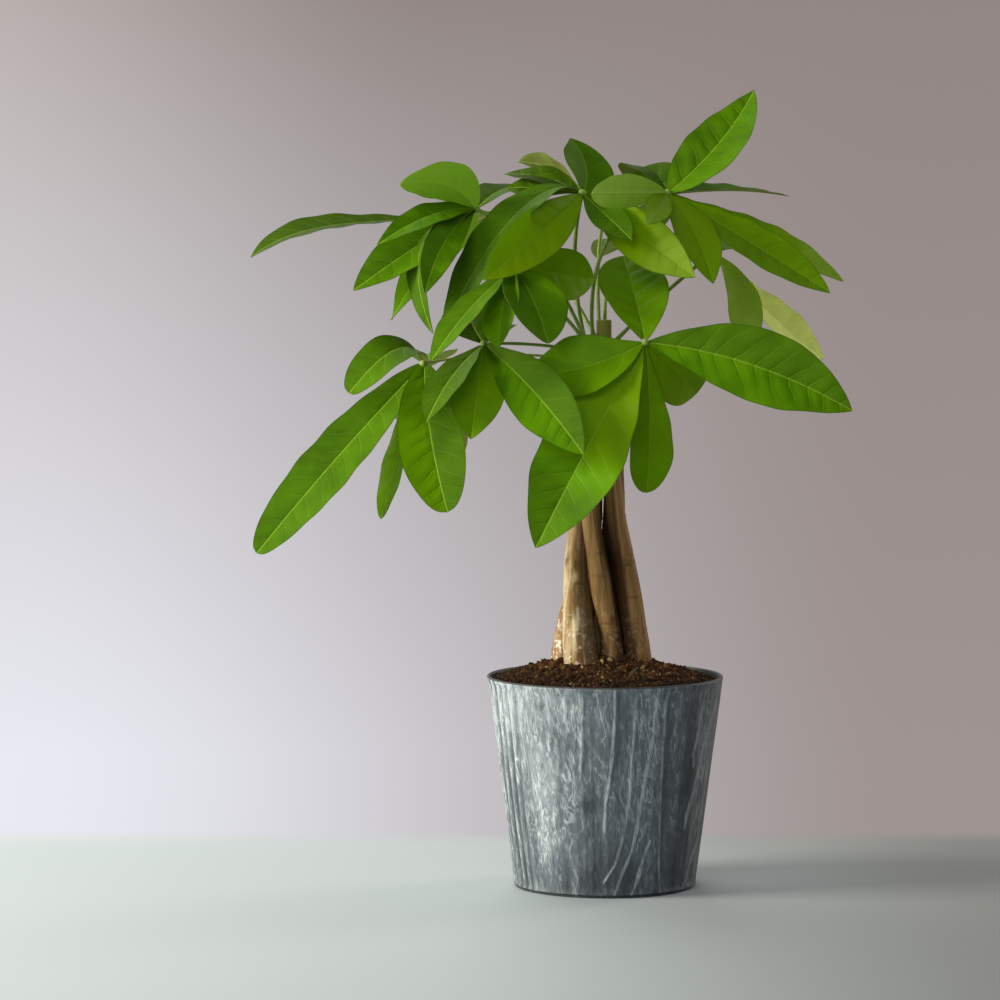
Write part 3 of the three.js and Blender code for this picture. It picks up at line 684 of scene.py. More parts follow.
print("stalk:", STALK_ROWS, "rows of", STALK_SIDES, "sides")

# %% Leaf assembly
def joined(parts, name):
    """Several mesh objects joined into the first, which gets the name."""
    with bpy.context.temp_override(active_object=parts[0], object=parts[0], selected_objects=parts,
                                   selected_editable_objects=parts):
        bpy.ops.object.join()
    parts[0].name = name
    parts[0].data.name = name
    return parts[0]


total = 0
for number, (name, leaf) in enumerate(LEAVES.items()):
    hub = np.array(leaf["hub"], float)
    made = [blade_mesh(hub, b, 100 * number + k) for k, b in enumerate(leaf["blades"])]
    starts = np.cumsum([0] + [len(points) for points, _, _ in made])
    points = np.concatenate([points for points, _, _ in made])
    faces = np.concatenate([faces + start for (_, faces, _), start in zip(made, starts)]).tolist()
    values = {key: np.concatenate([own[key] for _, _, own in made]) for key in made[0][2]}
    blades = mesh_object(name + "_blades", points, faces, [leaf_skin], values)
    rod = stalk(name + "_stalk", leaf["foot"], leaf["bend"], leaf["hub"], leaf.get("slim", USUAL_SLIMNESS))
    piece = joined([blades, rod], "grown_" + name)
    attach(piece, "root")
    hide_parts(name)
    total += triangles(piece)
print("leaves:", total, "triangles")

# %% [markdown]
# ## The braided stems
#
# Five stems wind round each other. Each is a tapering rod of young bark: fibres run along it, rings
# and eyes mark where old leaves stood, and near the soil the thin outer bark flakes off. A swept
# circle would look like a pipe. Here each ring of points gets its own radius from the rules below.

# %% Where each stem and mark is
LEVELS = [100, 150, 232, 346]
TRUNK_X = [-2.5, -2.5, -3, -6]
# each stem: how far from the trunk's axis, at which angle and how thick it is at each of the levels,
# the phase of its bumps, its top, and on one the angle of a low ridge
STEMS = {
    "stem_1": dict(out=(20, 20, 13.8, 9.8), angle=(-118, -130, -178, -204), radius=(10.8, 12, 7.2, 5.2),
                   phase=0.4, top=346, keel=-104),
    "stem_2": dict(out=(12.6, 12.6, 13.8, 9.8), angle=(-48, -56, -116, -132), radius=(7, 7.7, 6.6, 5.2),
                   phase=1.7, top=346),
    "stem_3": dict(out=(23, 23, 12.8, 9.8), angle=(6, -5, -30, -60), radius=(8.6, 9.8, 7.3, 5),
                   phase=2.6, top=362),
    "stem_4": dict(out=(17, 17, 13.8, 9.8), angle=(98, 87, 50, 12), radius=(9, 12, 7.4, 5.2),
                   phase=3.9, top=346),
    "stem_5": dict(out=(24, 24, 13.8, 9.8), angle=(170, 159, 114, 84), radius=(9, 10, 7.4, 5.2),
                   phase=5.2, top=346),
}
# each mark on the bark: height, angle, half width and half height in mm, how warm, how dark
# The last two marks on stem_3 are painted shade: a dark line down its groove, and its left flank, which lies
# in shade.
MARKS = {
    "stem_1": [(195, -79, 4.2, 0.9, 0.0, 1.0), (176, -62, 1.2, 3.5, 0.3, 0.5),
               (158, -100, 1.0, 5.0, 0.0, 0.5)],
    "stem_2": [(214, -70, 2.5, 0.8, 0.0, 0.8), (171, -60, 1.5, 1.0, 0.0, 0.5)],
    "stem_3": [(186, -66, 4.5, 0.8, 0.6, 0.7), (180, -68, 4.5, 3.0, 1.0, 0.0), (163, -50, 3.0, 7.0, 1.0, 0.0),
               (207, -75, 3.0, 0.7, 0.0, 0.9), (160, -44, 1.0, 6.0, 0.0, 0.6), (246, -108, 1.1, 28, 0.0, 1.0),
               (190, -150, 4.5, 34, 0.2, 1.0)],
}
# each swelling or groove: height, angle, half width and half height in mm, rise in mm
SWELLINGS = {"stem_1": [(190, -5, 7, 15, 1.0)], "stem_2": [(190, 180, 6, 15, 0.9)],
             "stem_3": [(246, -108, 1.4, 30, -1.7), (262, 0, 7, 34, -2.2)]}
# the side of each stem, as an angle, that is painted as lit; the far side gets painted shade
SUNNY_SIDE = {"stem_1": -154, "stem_2": -105, "stem_3": -38, "stem_4": 90, "stem_5": -152}
print("stems:", ", ".join(STEMS))

# %% Stem mesh
STEM_FOOT = 100
STEM_SIDES = 60
STEM_ROWS = 190
FIRST_SCAR = 128
BETWEEN_SCARS = 20, 44
ROUNDED_END = 1.2
NOT_NEAR = 50
KNOB_DEPTH = 0.035
SCAR_RISE = 0.28
EYE_RISE = 0.3
FIBRE_RISE = 0.09
FLAKE_RISE = 0.5
KEEL_RISE = 0.05
KEEL_TOP = 240


def eased(values, z):
    """The value at height z, with the corners between the levels rounded off."""
    return sum(np.interp(z + d, LEVELS, values) for d in (-8, -3, 3, 8)) / 4


def stem_axis(stem, z):
    """Where the middle of the stem is at height z."""
    turn = np.radians(eased(stem["angle"], z))
    out = eased(stem["out"], z)
    return eased(TRUNK_X, z) + out * np.cos(turn), out * np.sin(turn)


def stem_mesh(name, stem, seed):
    """Points, faces and per-point values of one stem, in mm."""
    rng = np.random.default_rng(seed)
    z = np.linspace(STEM_FOOT, stem["top"], STEM_ROWS)[:, None]
    a = np.linspace(0, TURN, STEM_SIDES, endpoint=False)[None, :]
    x0, y0 = stem_axis(stem, z)
    # low swellings along the stem, half as deep near its top
    knob = 1 - KNOB_DEPTH * (1 + np.sin(0.11 * z + 2 * a + stem["phase"])) * np.where(z > 320, 0.5, 1)
    radius = eased(stem["radius"], z) * knob
    scar_mm = np.full(np.broadcast(z, a).shape, float(NOT_NEAR))
    eye_mm = scar_mm.copy()
    # each old leaf left a tilted scar round the stem, with an eye where its bud was
    height = FIRST_SCAR
    while height < stem["top"] - 4:
        height += rng.uniform(*BETWEEN_SCARS)
        tilt, lean, eye = rng.uniform(0.3, 1.6), rng.uniform(0, 6.28), rng.uniform(0, 6.28)
        line = z - height - tilt * np.sin(a + lean)
        scar_mm = np.where(np.abs(line) < np.abs(scar_mm), line, scar_mm)
        sidewise = turned_from(a, eye) * radius
        spot = np.hypot(sidewise, 1.3 * (z - height - 1.5)) - rng.uniform(1.4, 2.6)
        eye_mm = np.minimum(eye_mm, spot)
    warm, dark = np.zeros(scar_mm.shape), np.zeros(scar_mm.shape)
    for mark_z, at, wide, tall, warmth, darkness in MARKS.get(name, []):
        turned = turned_from(a, math.radians(at))
        above = z - mark_z - 0.25 * tall * np.cos(turned * 3)
        near = np.exp(-((turned * radius / wide) ** 4) - (above / tall) ** 4)
        warm = np.maximum(warm, warmth * near)
        dark = np.maximum(dark, darkness * near)
    # painted light: 1 on the side given as lit, 0 on the far side
    sunny = 0.5 + 0.5 * np.cos(a - math.radians(SUNNY_SIDE[name])) + 0 * z
    # a scar stands out, with a shallow groove above it
    ring = SCAR_RISE * np.exp(-((scar_mm / 0.8) ** 2)) - 0.12 * np.exp(-(((scar_mm - 1.9) / 1.2) ** 2))
    eye_form = EYE_RISE * np.exp(-((np.clip(eye_mm, -3, 9) / 0.9) ** 2))
    fibre = sum(FIBRE_RISE * np.sin(k * a + 0.05 * z * s + p) for k, s, p in zip(
        rng.integers(5, 24, 7), rng.uniform(-1, 1, 7), rng.uniform(0, 6.28, 7)))
    keel = stem.get("keel")
    if keel is not None:
        turned = turned_from(a, math.radians(keel))
        fade = np.clip((KEEL_TOP - z) / 60, 0, 1)
        radius = radius * (1 + fade * (KEEL_RISE * np.exp(-((turned / 0.28) ** 2)) - 0.03))
    # near the soil the outer bark lifts in scales
    foot_rough = np.exp(-((z - 140) / 14).clip(0, 9))
    scales = np.sin(4 * a + 0.21 * z + stem["phase"]) * np.sin(7 * a - 0.33 * z)
    flakes = foot_rough * FLAKE_RISE * np.maximum(0, scales)
    radius = radius + ring + eye_form + 0.6 * fibre + flakes - 0.25
    for swell_z, at, wide, tall, rise in SWELLINGS.get(name, []):
        turned = turned_from(a, math.radians(at))
        radius = radius + rise * np.exp(-((turned * radius / wide) ** 4) - ((z - swell_z) / tall) ** 4)
    end = stem["top"] - z
    # the cut top is rounded at its edge
    rounded = np.sqrt(np.clip(1 - ((ROUNDED_END - end) / 3.6) ** 2, 0, 1))
    radius = radius * np.where(end < ROUNDED_END, rounded, 1)
    rings = np.stack([x0 + radius * np.cos(a), y0 + radius * np.sin(a), z + 0 * a], -1)
    points, faces = capped_tube(rings, (x0[0, 0], y0[0, 0], STEM_FOOT), (x0[-1, 0], y0[-1, 0], stem["top"]))
    cut = np.repeat(np.where(end < 0.1, 1.0, 0.0), STEM_SIDES)
    grids = {"scar_mm": (scar_mm, NOT_NEAR, NOT_NEAR), "eye_mm": (eye_mm, NOT_NEAR, NOT_NEAR),
             "warm": (warm, 0, 0), "dark": (dark, 0, 0), "sunny": (sunny, 0.5, 0.5), "cut": (cut, 0, 1)}
    return points, faces, {key: np.append(grid, ends) for key, (grid, *ends) in grids.items()}


print("highest stem:", max(stem["top"] for stem in STEMS.values()), "mm")

# %% [markdown]
# ## Young bark
#
# Money tree bark is thin, tan to grey-brown, with fine cracks along the stem. Old leaf scars are
# darker, the flakes near the soil are nearly white, and older stems carry patches of orange-brown.
# Noise that is stretched along Z gives the fibres, and the scars come from the distances on the mesh.
# Painted light makes each stem paler on one side, with painted shade on the other, and paler at the
# top, where the leaves shade it; the pale flakes show only on the lit side.

# %% Bark material
# Fibres are about 1.6 mm apart across the stem (scale 620) and twelve times as long as they are wide.
def bark_material(name, pale, mid, dark, rust, lichen, flake_share):
    """Bark in five hex colours. flake_share is how much of the pale outer skin is left near the soil."""
    material, t = new_material(name)
    place = add(t, "TexCoord", out="Object")
    height = add(t, "SeparateXYZ", [place], out="Z")
    scar, eye, cut, warm, wound, sunny = [
        add(t, "Attribute", out="Fac", attribute_name=key)
        for key in ("scar_mm", "eye_mm", "cut", "warm", "dark", "sunny")]
    long_way = add(t, "Mapping", {"Vector": place, "Scale": (1, 1, 0.08)})
    fibre = add(t, "TexNoise", {"Vector": long_way, "Scale": 620, "Detail": 6, "Roughness": 0.62})
    band = add(t, "TexNoise", {"Vector": long_way, "Scale": 170, "Detail": 3})
    patch = add(t, "TexNoise", {"Vector": place, "Scale": 75, "Detail": 5, "Roughness": 0.6,
                "Distortion": 0.6})
    speck = add(t, "TexNoise", {"Vector": place, "Scale": 900, "Detail": 4})
    mixed = add(t, "MapRange", [band, 0.36, 0.62])
    colour = add(t, "Mix", [mixed, mid, pale], data_type="RGBA")
    # Painted light and shade: each stem keeps its paler colours on its lit side and is mixed towards the dark
    # colour on the far side, with a ragged edge.
    ragged = add(t, "Math", [band, 0.7, sunny], operation="MULTIPLY_ADD")
    shaded = add(t, "MapRange", [ragged, 1.22, 1, 0, 0.85], interpolation_type="SMOOTHSTEP")
    crack = add(t, "MapRange", [fibre, 0.34, 0.5, 0.5, 0])
    rusty = add(t, "MapRange", [patch, 0.52, 0.66, 0, 0.45])
    low_down = add(t, "MapRange", [height, 0.215, 0.165])
    rusty = add(t, "Math", [rusty, low_down], operation="MULTIPLY")
    rough_warm = add(t, "MapRange", [patch, 0.38, 0.6, 0, 0.8])
    rough_warm = add(t, "Math", [rough_warm, warm], operation="MULTIPLY")
    rusty = add(t, "Math", [rusty, rough_warm], operation="MAXIMUM")
    scaly = add(t, "TexNoise", {"Vector": place, "Scale": 260, "Detail": 5, "Roughness": 0.65,
                "Distortion": 0.5})
    flaky = add(t, "MapRange", [scaly, 0.46, 0.4, 0, flake_share])
    near_soil = add(t, "MapRange", [height, 0.19, 0.155])
    # The pale flakes near the soil show only on the lit side, so they are partly painted light.
    for share in (near_soil, sunny):
        flaky = add(t, "Math", [flaky, share], operation="MULTIPLY")
    ringed = add(t, "Math", [scar], operation="ABSOLUTE")
    ringed = add(t, "MapRange", [ringed, 0.2, 1.1, 0.35, 0])
    broken = add(t, "MapRange", [patch, 0.42, 0.56])
    ringed = add(t, "Math", [ringed, broken], operation="MULTIPLY")
    eyed = add(t, "MapRange", [eye, -0.6, 0.5, 0.45, 0])
    marks = add(t, "Math", [ringed, eyed], operation="MAXIMUM")
    # The dark marks are scars, with painted shade in the groove and on the left flank of stem_3.
    wounded = add(t, "Math", [wound, 0.75], operation="MULTIPLY")
    marks = add(t, "Math", [marks, wounded], operation="MAXIMUM")
    # Painted light: above 212 mm the bark is mixed towards a paler orange-brown, which lightens the top of
    # the trunk that the leaves shade.
    upper = add(t, "MapRange", [height, 0.212, 0.25, 0, 0.55])
    greener = add(t, "MapRange", [height, 0.3, 0.345, 0, 0.8])
    for share, tint in ((shaded, dark), (crack, dark), (rusty, rust), (flaky, lichen), (marks, dark),
                        (upper, "#b08a5e"), (greener, "#6d7a28"), (cut, "#7f8440")):
        colour = add(t, "Mix", [share, colour, tint], data_type="RGBA")
    relief = band
    for part, share in ((fibre, 1), (speck, 0.25), (flaky, 1.2)):
        relief = add(t, "Math", [part, share, relief], operation="MULTIPLY_ADD")
    bump = add(t, "Bump", {"Strength": 0.6, "Distance": 0.0006, "Height": relief})
    rough = add(t, "MapRange", [speck, 0, 1, 0.55, 0.8])
    skin = add(t, "BsdfPrincipled", {"Base Color": colour, "Roughness": rough, "IOR": 1.45, "Normal": bump,
               "Specular IOR Level": 0.2})
    add(t, "OutputMaterial", {"Surface": skin})
    return material


# each bark: what sets it apart, its pale, middle, dark, rusty and flake colours, and its flakes
BARKS = {
    "stem_1": ("tan", "#d2c09a", "#8e7342", "#56401c", "#8a5a2a", "#e9dec6", 0.7),
    "stem_2": ("grey tan", "#98794a", "#6c5228", "#38240e", "#7c542a", "#d8c6a2", 0.3),
    "stem_3": ("brown", "#a4804e", "#7a5a30", "#38220c", "#a06e3c", "#b9a27a", 0.5),
    "stem_4": ("shaded", "#9a7a4c", "#765a34", "#3c2812", "#7c4c20", "#bfa374", 0.3),
    "stem_5": ("flaking", "#b3966a", "#8c6d42", "#4a321a", "#8a5a2a", "#efe6d4", 1.0),
}
print("barks:", ", ".join(word for word, *_ in BARKS.values()))

# %% Dress the stems
total = 0
for number, (name, stem) in enumerate(STEMS.items()):
    points, faces, values = stem_mesh(name, stem, 40 + number)
    word, *finish = BARKS[name]
    bark = bark_material("young bark, " + word, *finish)
    piece = mesh_object("bark_" + name, points, faces, [bark], values, 50)
    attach(piece, "root")
    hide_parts(name)
    total += triangles(piece)
print("stems:", total, "triangles")

# %% [markdown]
# ## The soil
#
# Potting soil is a heap of crumbs two or three millimetres across, redder where it is dry. A bump map
# alone stays flat at the edge of the heap, where crumbs stand against the light. So a rolling surface
# comes first, which fills the pot from its floor up, and small crumbs are scattered on it later.

# %% Soil height
POT_HEIGHT = 135
POT_RIM_RADIUS = 75.6
POT_FOOT_RADIUS = 58.2
POT_WALL = 2.4
POT_FLOOR = 3
SOIL_BELOW_RIM = 4
SOIL_HEAP = 17
HEAP_CENTRE = -2.5
HEAP_TOP_RADIUS = 20
HEAP_SLOPE = 55


def pot_radius(z):
    """Radius of the pot's outside at height z, without its relief."""
    return POT_FOOT_RADIUS + (POT_RIM_RADIUS - POT_FOOT_RADIUS) * z / POT_HEIGHT


def soil_height(x, y):
    """Height of the soil: a heap round the trunk, with lumps that fade out at the pot's wall."""
    r = np.hypot(x - HEAP_CENTRE, y)
    heap = SOIL_HEAP * np.clip(1 - (r - HEAP_TOP_RADIUS) / HEAP_SLOPE, 0, 1)
    lumps = 0.9 * np.sin(0.31 * x + 1.3) * np.cos(0.27 * y - 0.6) + 0.6 * np.sin(0.53 * x - 0.41 * y)
    return POT_HEIGHT - SOIL_BELOW_RIM + heap + lumps * np.clip((76 - np.hypot(x, y)) / 12, 0, 1)


print("top of the soil:", round(float(soil_height(HEAP_CENTRE, 0)), 1), "mm")

# %% [markdown]
# ## Potting soil
#
# Potting soil is peat and composted bark. It is matt and nearly black when damp, and red-brown where
# it has dried. Along the wall it is darkened with painted shade, where the inner wall shades it. One
# brown would look like chocolate. Each crumb carries a number of its own, so whole crumbs can be dry,
# mossy or a chip of bark, and a fine noise makes all of them rough.

# %% Soil material
# The grain on the crumbs is 1.4 mm wide, and damp and drier patches are 22 mm across.
soil_earth, t = new_material("potting soil")
place = add(t, "TexCoord", out="Object")
crumb = add(t, "Attribute", out="Fac", attribute_name="crumb")
grain = add(t, "TexNoise", {"Vector": place, "Scale": 700, "Detail": 6, "Roughness": 0.65})
damp = add(t, "TexNoise", {"Vector": place, "Scale": 45, "Detail": 3})
dry = add(t, "MapRange", [crumb, 0.45, 0.8, 0, 0.8])
mossy = add(t, "MapRange", [crumb, 0.84, 0.86, 0, 0.8])
bark_bit = add(t, "MapRange", [crumb, 0.955, 0.965])
outwards = add(t, "VectorMath", [place, (1, 1, 0)], operation="MULTIPLY")
outwards = add(t, "VectorMath", [outwards], operation="LENGTH")
# Painted shade: the soil darkens towards the pot's wall, where the inner wall shades it.
damp_edge = add(t, "MapRange", [outwards, 0.04, 0.066, 0, 0.7])
dark = add(t, "MapRange", [grain, 0.45, 0.3])
colour = add(t, "Mix", [damp, "#1d1108", "#402814"], data_type="RGBA")
for share, tint in ((dry, "#69421f"), (mossy, "#4d4a22"), (bark_bit, "#927a50"), (damp_edge, "#1d120b"),
                    (dark, "#1d110a")):
    colour = add(t, "Mix", [share, colour, tint], data_type="RGBA")
bump = add(t, "Bump", {"Strength": 0.9, "Distance": 0.0009, "Height": grain})
earth = add(t, "BsdfPrincipled", {"Base Color": colour, "Roughness": 0.95, "IOR": 1.4, "Normal": bump,
            "Specular IOR Level": 0.2})
add(t, "OutputMaterial", {"Surface": earth})
print("potting soil:", len(t.nodes), "nodes")

# %% Soil surface
SOIL_RINGS = 44
SOIL_SIDES = 120
UNDER_CRUMBS = 0.8
SOIL_AT_STEMS = 148
edge_z = POT_HEIGHT - SOIL_BELOW_RIM - 1.5
edge_r = pot_radius(edge_z) - POT_WALL - 0.5
foot_r = pot_radius(POT_FLOOR) - POT_WALL - 0.5
a = np.linspace(0, TURN, SOIL_SIDES, endpoint=False)
rings = [np.stack([r * np.cos(a), r * np.sin(a), 0 * a + z], -1)
         for r, z in ((foot_r, POT_FLOOR + 0.3), (edge_r, edge_z))]
for i in range(SOIL_RINGS):
    r = (edge_r - 0.3) * (1 - i / SOIL_RINGS)
    x, y = r * np.cos(a), r * np.sin(a)
    rings.append(np.stack([x, y, soil_height(x, y) - UNDER_CRUMBS], -1))
top_z = float(soil_height(0, 0)) - UNDER_CRUMBS
points, faces = capped_tube(rings, (0, 0, POT_FLOOR + 0.3), (0, 0, top_z))
bare = np.zeros(len(points))
for stem in STEMS.values():
    x0, y0 = stem_axis(stem, SOIL_AT_STEMS)
    reach = eased(stem["radius"], SOIL_AT_STEMS)
    bare = np.maximum(bare, np.hypot(points[:, 0] - x0, points[:, 1] - y0) < reach + 0.2)
bare[: 2 * SOIL_SIDES] = 1
bare[-2] = 1
soil = mesh_object("heaped_soil", points, faces, [soil_earth], {"open": 1 - bare})
print("soil surface:", len(points), "points")

# %% [markdown]
# ## Crumbs
#
# Thousands of crumbs lie on the surface, each turned and stretched its own way. Placed by hand, or
# by a loop of separate objects, they would take minutes. Geometry Nodes scatter one small ball over
# the surface, leave the places of the stems free, and store the number that shades each crumb. A
# crumb has twenty faces, because it is repeated so often.

# %% Crumb scatter tree
CRUMBS_PER_SQUARE_METRE = 430000.0
CRUMB_RADIUS = 1.6
CRUMB_SEED = 11

scatter, scatter_inputs, source = new_tree("scatter crumbs", Density="Float", Radius="Float", Seed="Int",
                                           Earth="Material")
open_here = add(scatter, "GeometryNodeInputNamedAttribute", {"Name": "open"}, data_type="FLOAT")
density = add(scatter, "Math", [open_here, source["Density"]], operation="MULTIPLY")
spots = add(scatter, "GeometryNodeDistributePointsOnFaces", {"Mesh": source["Geometry"], "Density": density,
            "Seed": source["Seed"]}, distribute_method="RANDOM")
turn = add(scatter, "FunctionNodeRandomValue", {0: (0, 0, 0), 1: (6.28, 6.28, 6.28), "Seed": 3},
           data_type="FLOAT_VECTOR")
stretch = add(scatter, "FunctionNodeRandomValue", {0: (0.25, 0.25, 0.2), 1: (1.35, 1.05, 0.9), "Seed": 5},
              data_type="FLOAT_VECTOR")
clump = add(scatter, "FunctionNodeRandomValue", {2: 0, 3: 1, "Seed": 7}, data_type="FLOAT")
clump = add(scatter, "Math", [clump, 5], operation="POWER")
clump = add(scatter, "Math", [clump, 1.2, 0.6], operation="MULTIPLY_ADD")
stretch = add(scatter, "VectorMath", [stretch, clump], operation="SCALE")
ball = add(scatter, "GeometryNodeMeshIcoSphere", {"Radius": source["Radius"], "Subdivisions": 1})
crumbs = add(scatter, "GeometryNodeInstanceOnPoints", {"Points": spots, "Instance": ball, "Rotation": turn,
             "Scale": stretch})
shade = add(scatter, "FunctionNodeRandomValue", {2: 0, 3: 1, "Seed": 9}, data_type="FLOAT")
crumbs = add(scatter, "GeometryNodeStoreNamedAttribute", {"Geometry": crumbs, "Name": "crumb",
             "Value": shade}, data_type="FLOAT", domain="INSTANCE")
real = add(scatter, "GeometryNodeRealizeInstances", [crumbs])
both = add(scatter, "GeometryNodeJoinGeometry", [source["Geometry"]])
scatter.links.new(real, both.node.inputs[0])
earthy = add(scatter, "GeometryNodeSetMaterial", {"Geometry": both, "Material": source["Earth"]})
add(scatter, "NodeGroupOutput", [earthy])
run_tree(soil, scatter, scatter_inputs, Density=CRUMBS_PER_SQUARE_METRE, Radius=CRUMB_RADIUS * MM,
         Seed=CRUMB_SEED, Earth=soil_earth)
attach(soil, "root")
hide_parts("soil")
print("soil with crumbs:", triangles(soil), "triangles")

# %% [markdown]
# ## The pot
#
# The pot is moulded plastic with a wood-grain relief, painted to look like weathered zinc. The mould
# has low upright ridges, fine ribs, and long raised streaks that lean from upper right to lower left.
# The paint is rubbed pale on everything that stands out. The relief is real geometry, so it shows at
# the outline, and the distance to the nearest streak goes with the mesh for the paint to follow.

# %% Pot sizes, streaks and clouds
FOOT_RING_HEIGHT = 1.5
FOOT_RING_INSET = 0.9
RIDGE_DEPTH = 0.7
POT_SIDES = 480
LIP_RADIUS = 1.1
NO_STREAK = 9.0
WALL_ROWS = 96
INSIDE_ROWS = 12
RIBS, RIB_DEPTH = 54, 0.5
FINE_RIBS, FINE_RIB_DEPTH = 83, 0.1
RIBBED_SIDE = -164
STREAK_RISE = 0.3
# each streak: its width in mm, then its line from the top down as (angle in degrees, height in mm)
STREAKS = [
    (1.3, [(-86.5, 133), (-86.3, 115), (-87.4, 92), (-88.8, 74), (-90.9, 60), (-91.2, 42)]),
    (1.2, [(-76, 128), (-76.2, 105), (-77.2, 84), (-77.3, 65), (-80.7, 39), (-85, 21.6), (-91.7, 10)]),
    (1.6, [(-65.8, 119), (-65.8, 102), (-69.2, 74), (-72.5, 44), (-75.5, 29), (-80.4, 16), (-85.1, 2)]),
    (1.8, [(-63.9, 36), (-66.4, 30), (-68.8, 20), (-72, 7), (-74.4, 2)]),
    (2.4, [(-31.2, 129), (-34, 123), (-36.3, 98), (-38.2, 90), (-37, 82)]),
    (3.2, [(-17.5, 130), (-16, 118), (-20.6, 113), (-23.6, 106), (-27.9, 91), (-32.5, 72), (-37.8, 49),
           (-38.5, 42)]),
    (2.2, [(-18.7, 34), (-28.3, 15), (-32.7, 6), (-34.4, 1)]),
    (0.9, [(-60.2, 128), (-59.6, 66), (-57.2, 20), (-54.7, 2)]),
    (0.8, [(-101.9, 131), (-102.6, 100), (-104.5, 76)]),
    (1.0, [(-132, 130), (-128.5, 121), (-127, 112)]),
    (0.9, [(-124, 131), (-120.5, 122), (-118.6, 113), (-113, 104)]),
    (1.0, [(-118.5, 128), (-113, 118), (-106, 108)]),
    (1.8, [(40, 120), (37, 90), (30, 40), (26, 10)]),
    (1.6, [(75, 131), (73, 80), (66, 40), (60, 20)]),
    (1.9, [(118, 100), (116, 60), (108, 20), (103, 5)]),
    (1.6, [(160, 126), (157, 80), (154, 40), (149, 12)]),
]
# flat bands like narrow boards: left edge in degrees, then how pale the paint is on it
BANDS = [
    (-180, 0.02), (-158, 0.06), (-138, 0.12), (-118, -0.06), (-102.5, -0.12), (-84, 0.0), (-70, 0.06),
    (-62, 0.05), (-59.6, -0.14), (-55.4, 0.06), (-46, -0.12), (-33, 0.02), (-14, -0.06), (8, 0.04),
    (26, -0.05), (41, 0.05), (63, -0.03), (84, 0.06), (97, -0.06), (121, 0.05), (143, -0.04), (162, 0.05)]
# paler and darker clouds in the paint: angle, height, half width in degrees, half height in mm, amount
CLOUDS = [
    (-150, 122, 14, 26, 0.45), (-126, 78, 9, 26, 0.27), (-120, 104, 7, 7, -0.3), (-110, 118, 14, 16, 0.2),
    (-101, 60, 4, 6, -0.35), (-108, 66, 7, 12, 0.15), (-95, 8, 60, 20, -0.3), (-145, 40, 12, 40, -0.08),
    (-126, 30, 8, 16, 0.25), (-110, 12, 2.5, 14, 0.35), (-60, 60, 30, 60, -0.1), (-40, 85, 6, 40, -0.12),
    (60, 80, 25, 40, 0.15), (130, 50, 25, 40, 0.15), (170, 100, 20, 30, 0.12), (100, 110, 20, 20, -0.1),
    (-154, 80, 10, 40, -0.14), (-68, 78, 8, 50, 0.1), (-25, 85, 10, 45, 0.16)]
print("on the pot:", len(STREAKS), "streaks,", len(BANDS), "bands and", len(CLOUDS), "clouds")

# %% Relief and paleness
def ridge(angle, z):
    """The low upright ridges of the wall, between -1.2 and 0.4."""
    turned = angle + 0.0009 * z
    wide = 0.5 * np.sin(17 * turned + 1.1 * np.sin(3 * turned))
    return wide + 0.3 * np.sin(29 * turned + 2 * np.sin(2 * turned)) - 0.4


def streak_distance(angle, z):
    """Distance in mm from the nearest streak's edge, negative inside it."""
    nearest = np.full(np.broadcast(angle, z).shape, NO_STREAK)
    for width, line in STREAKS:
        heights = [h for _, h in line][::-1]
        angles = [math.radians(b) for b, _ in line][::-1]
        sidewise = turned_from(angle, np.interp(z, heights, angles)) * pot_radius(z)
        k = np.clip((z - heights[0]) / (heights[-1] - heights[0]), 0, 1)
        past = np.maximum(0, np.maximum(heights[0] - z, z - heights[-1]))
        swelling = 0.55 * np.sin(math.pi * (0.08 + 0.84 * k)) + 0.25 * np.sin(0.31 * z + 9 * width)
        thin = 0.55 * width * (0.45 + swelling)
        nearest = np.minimum(nearest, np.hypot(sidewise, past) - thin)
    return nearest


def paleness(angle, z):
    """How pale the paint is: 0 dark, 0.5 middle, 1 nearly white."""
    # Painted light and shade: the paint is paler towards the top and towards the window side, at -150
    # degrees, and darker towards the foot and on the far side.
    tone = 0.36 + 0.0008 * (z - 60) + 0.06 * np.cos(angle - math.radians(-150)) + 0 * angle
    for edge, amount in BANDS:
        following = min([e for e, _ in BANDS if e > edge] + [180])
        middle, half = math.radians((edge + following) / 2), math.radians((following - edge) / 2)
        tone = tone + amount / (1 + np.exp((np.abs(turned_from(angle, middle)) - half) / math.radians(0.5)))
    for at, high, wide, tall, amount in CLOUDS:
        aside = turned_from(angle, math.radians(at)) / math.radians(wide)
        tone = tone + amount * np.exp(-aside ** 2 - ((z - high) / tall) ** 2)
    return np.clip(tone, 0, 1)


print("paleness in the middle of the front:", round(float(paleness(-math.pi / 2, 67)), 2))

# %% Pot wall
lip_z = POT_HEIGHT - LIP_RADIUS
z_wall = np.concatenate([[FOOT_RING_HEIGHT + 0.6], np.linspace(3.5, POT_HEIGHT - 2, WALL_ROWS), [lip_z]])
flat_a = np.linspace(0, TURN, POT_SIDES, endpoint=False) + math.pi / 2
a, z = flat_a[None, :], z_wall[:, None]
distance = streak_distance(a, z)
left_ribs = np.exp(-((turned_from(a, math.radians(RIBBED_SIDE)) / 0.46) ** 4)) + 0 * z
rib_wave = np.sin(RIBS * a + 1.2 * np.sin(0.03 * z) + 0.7)
ribs = RIB_DEPTH * left_ribs * (rib_wave - 1) + FINE_RIB_DEPTH * np.sin(FINE_RIBS * a) - FINE_RIB_DEPTH
raised = STREAK_RISE * np.exp(-((np.maximum(distance, 0) / 0.7) ** 2))
relief = RIDGE_DEPTH * ridge(a, z) + ribs + raised - 0.25
fade = np.clip((POT_HEIGHT - 1 - z) / 4, 0, 1) * np.clip((z - 2) / 3, 0, 1)
outer_r = pot_radius(z) + np.minimum(relief, 0.05) * fade
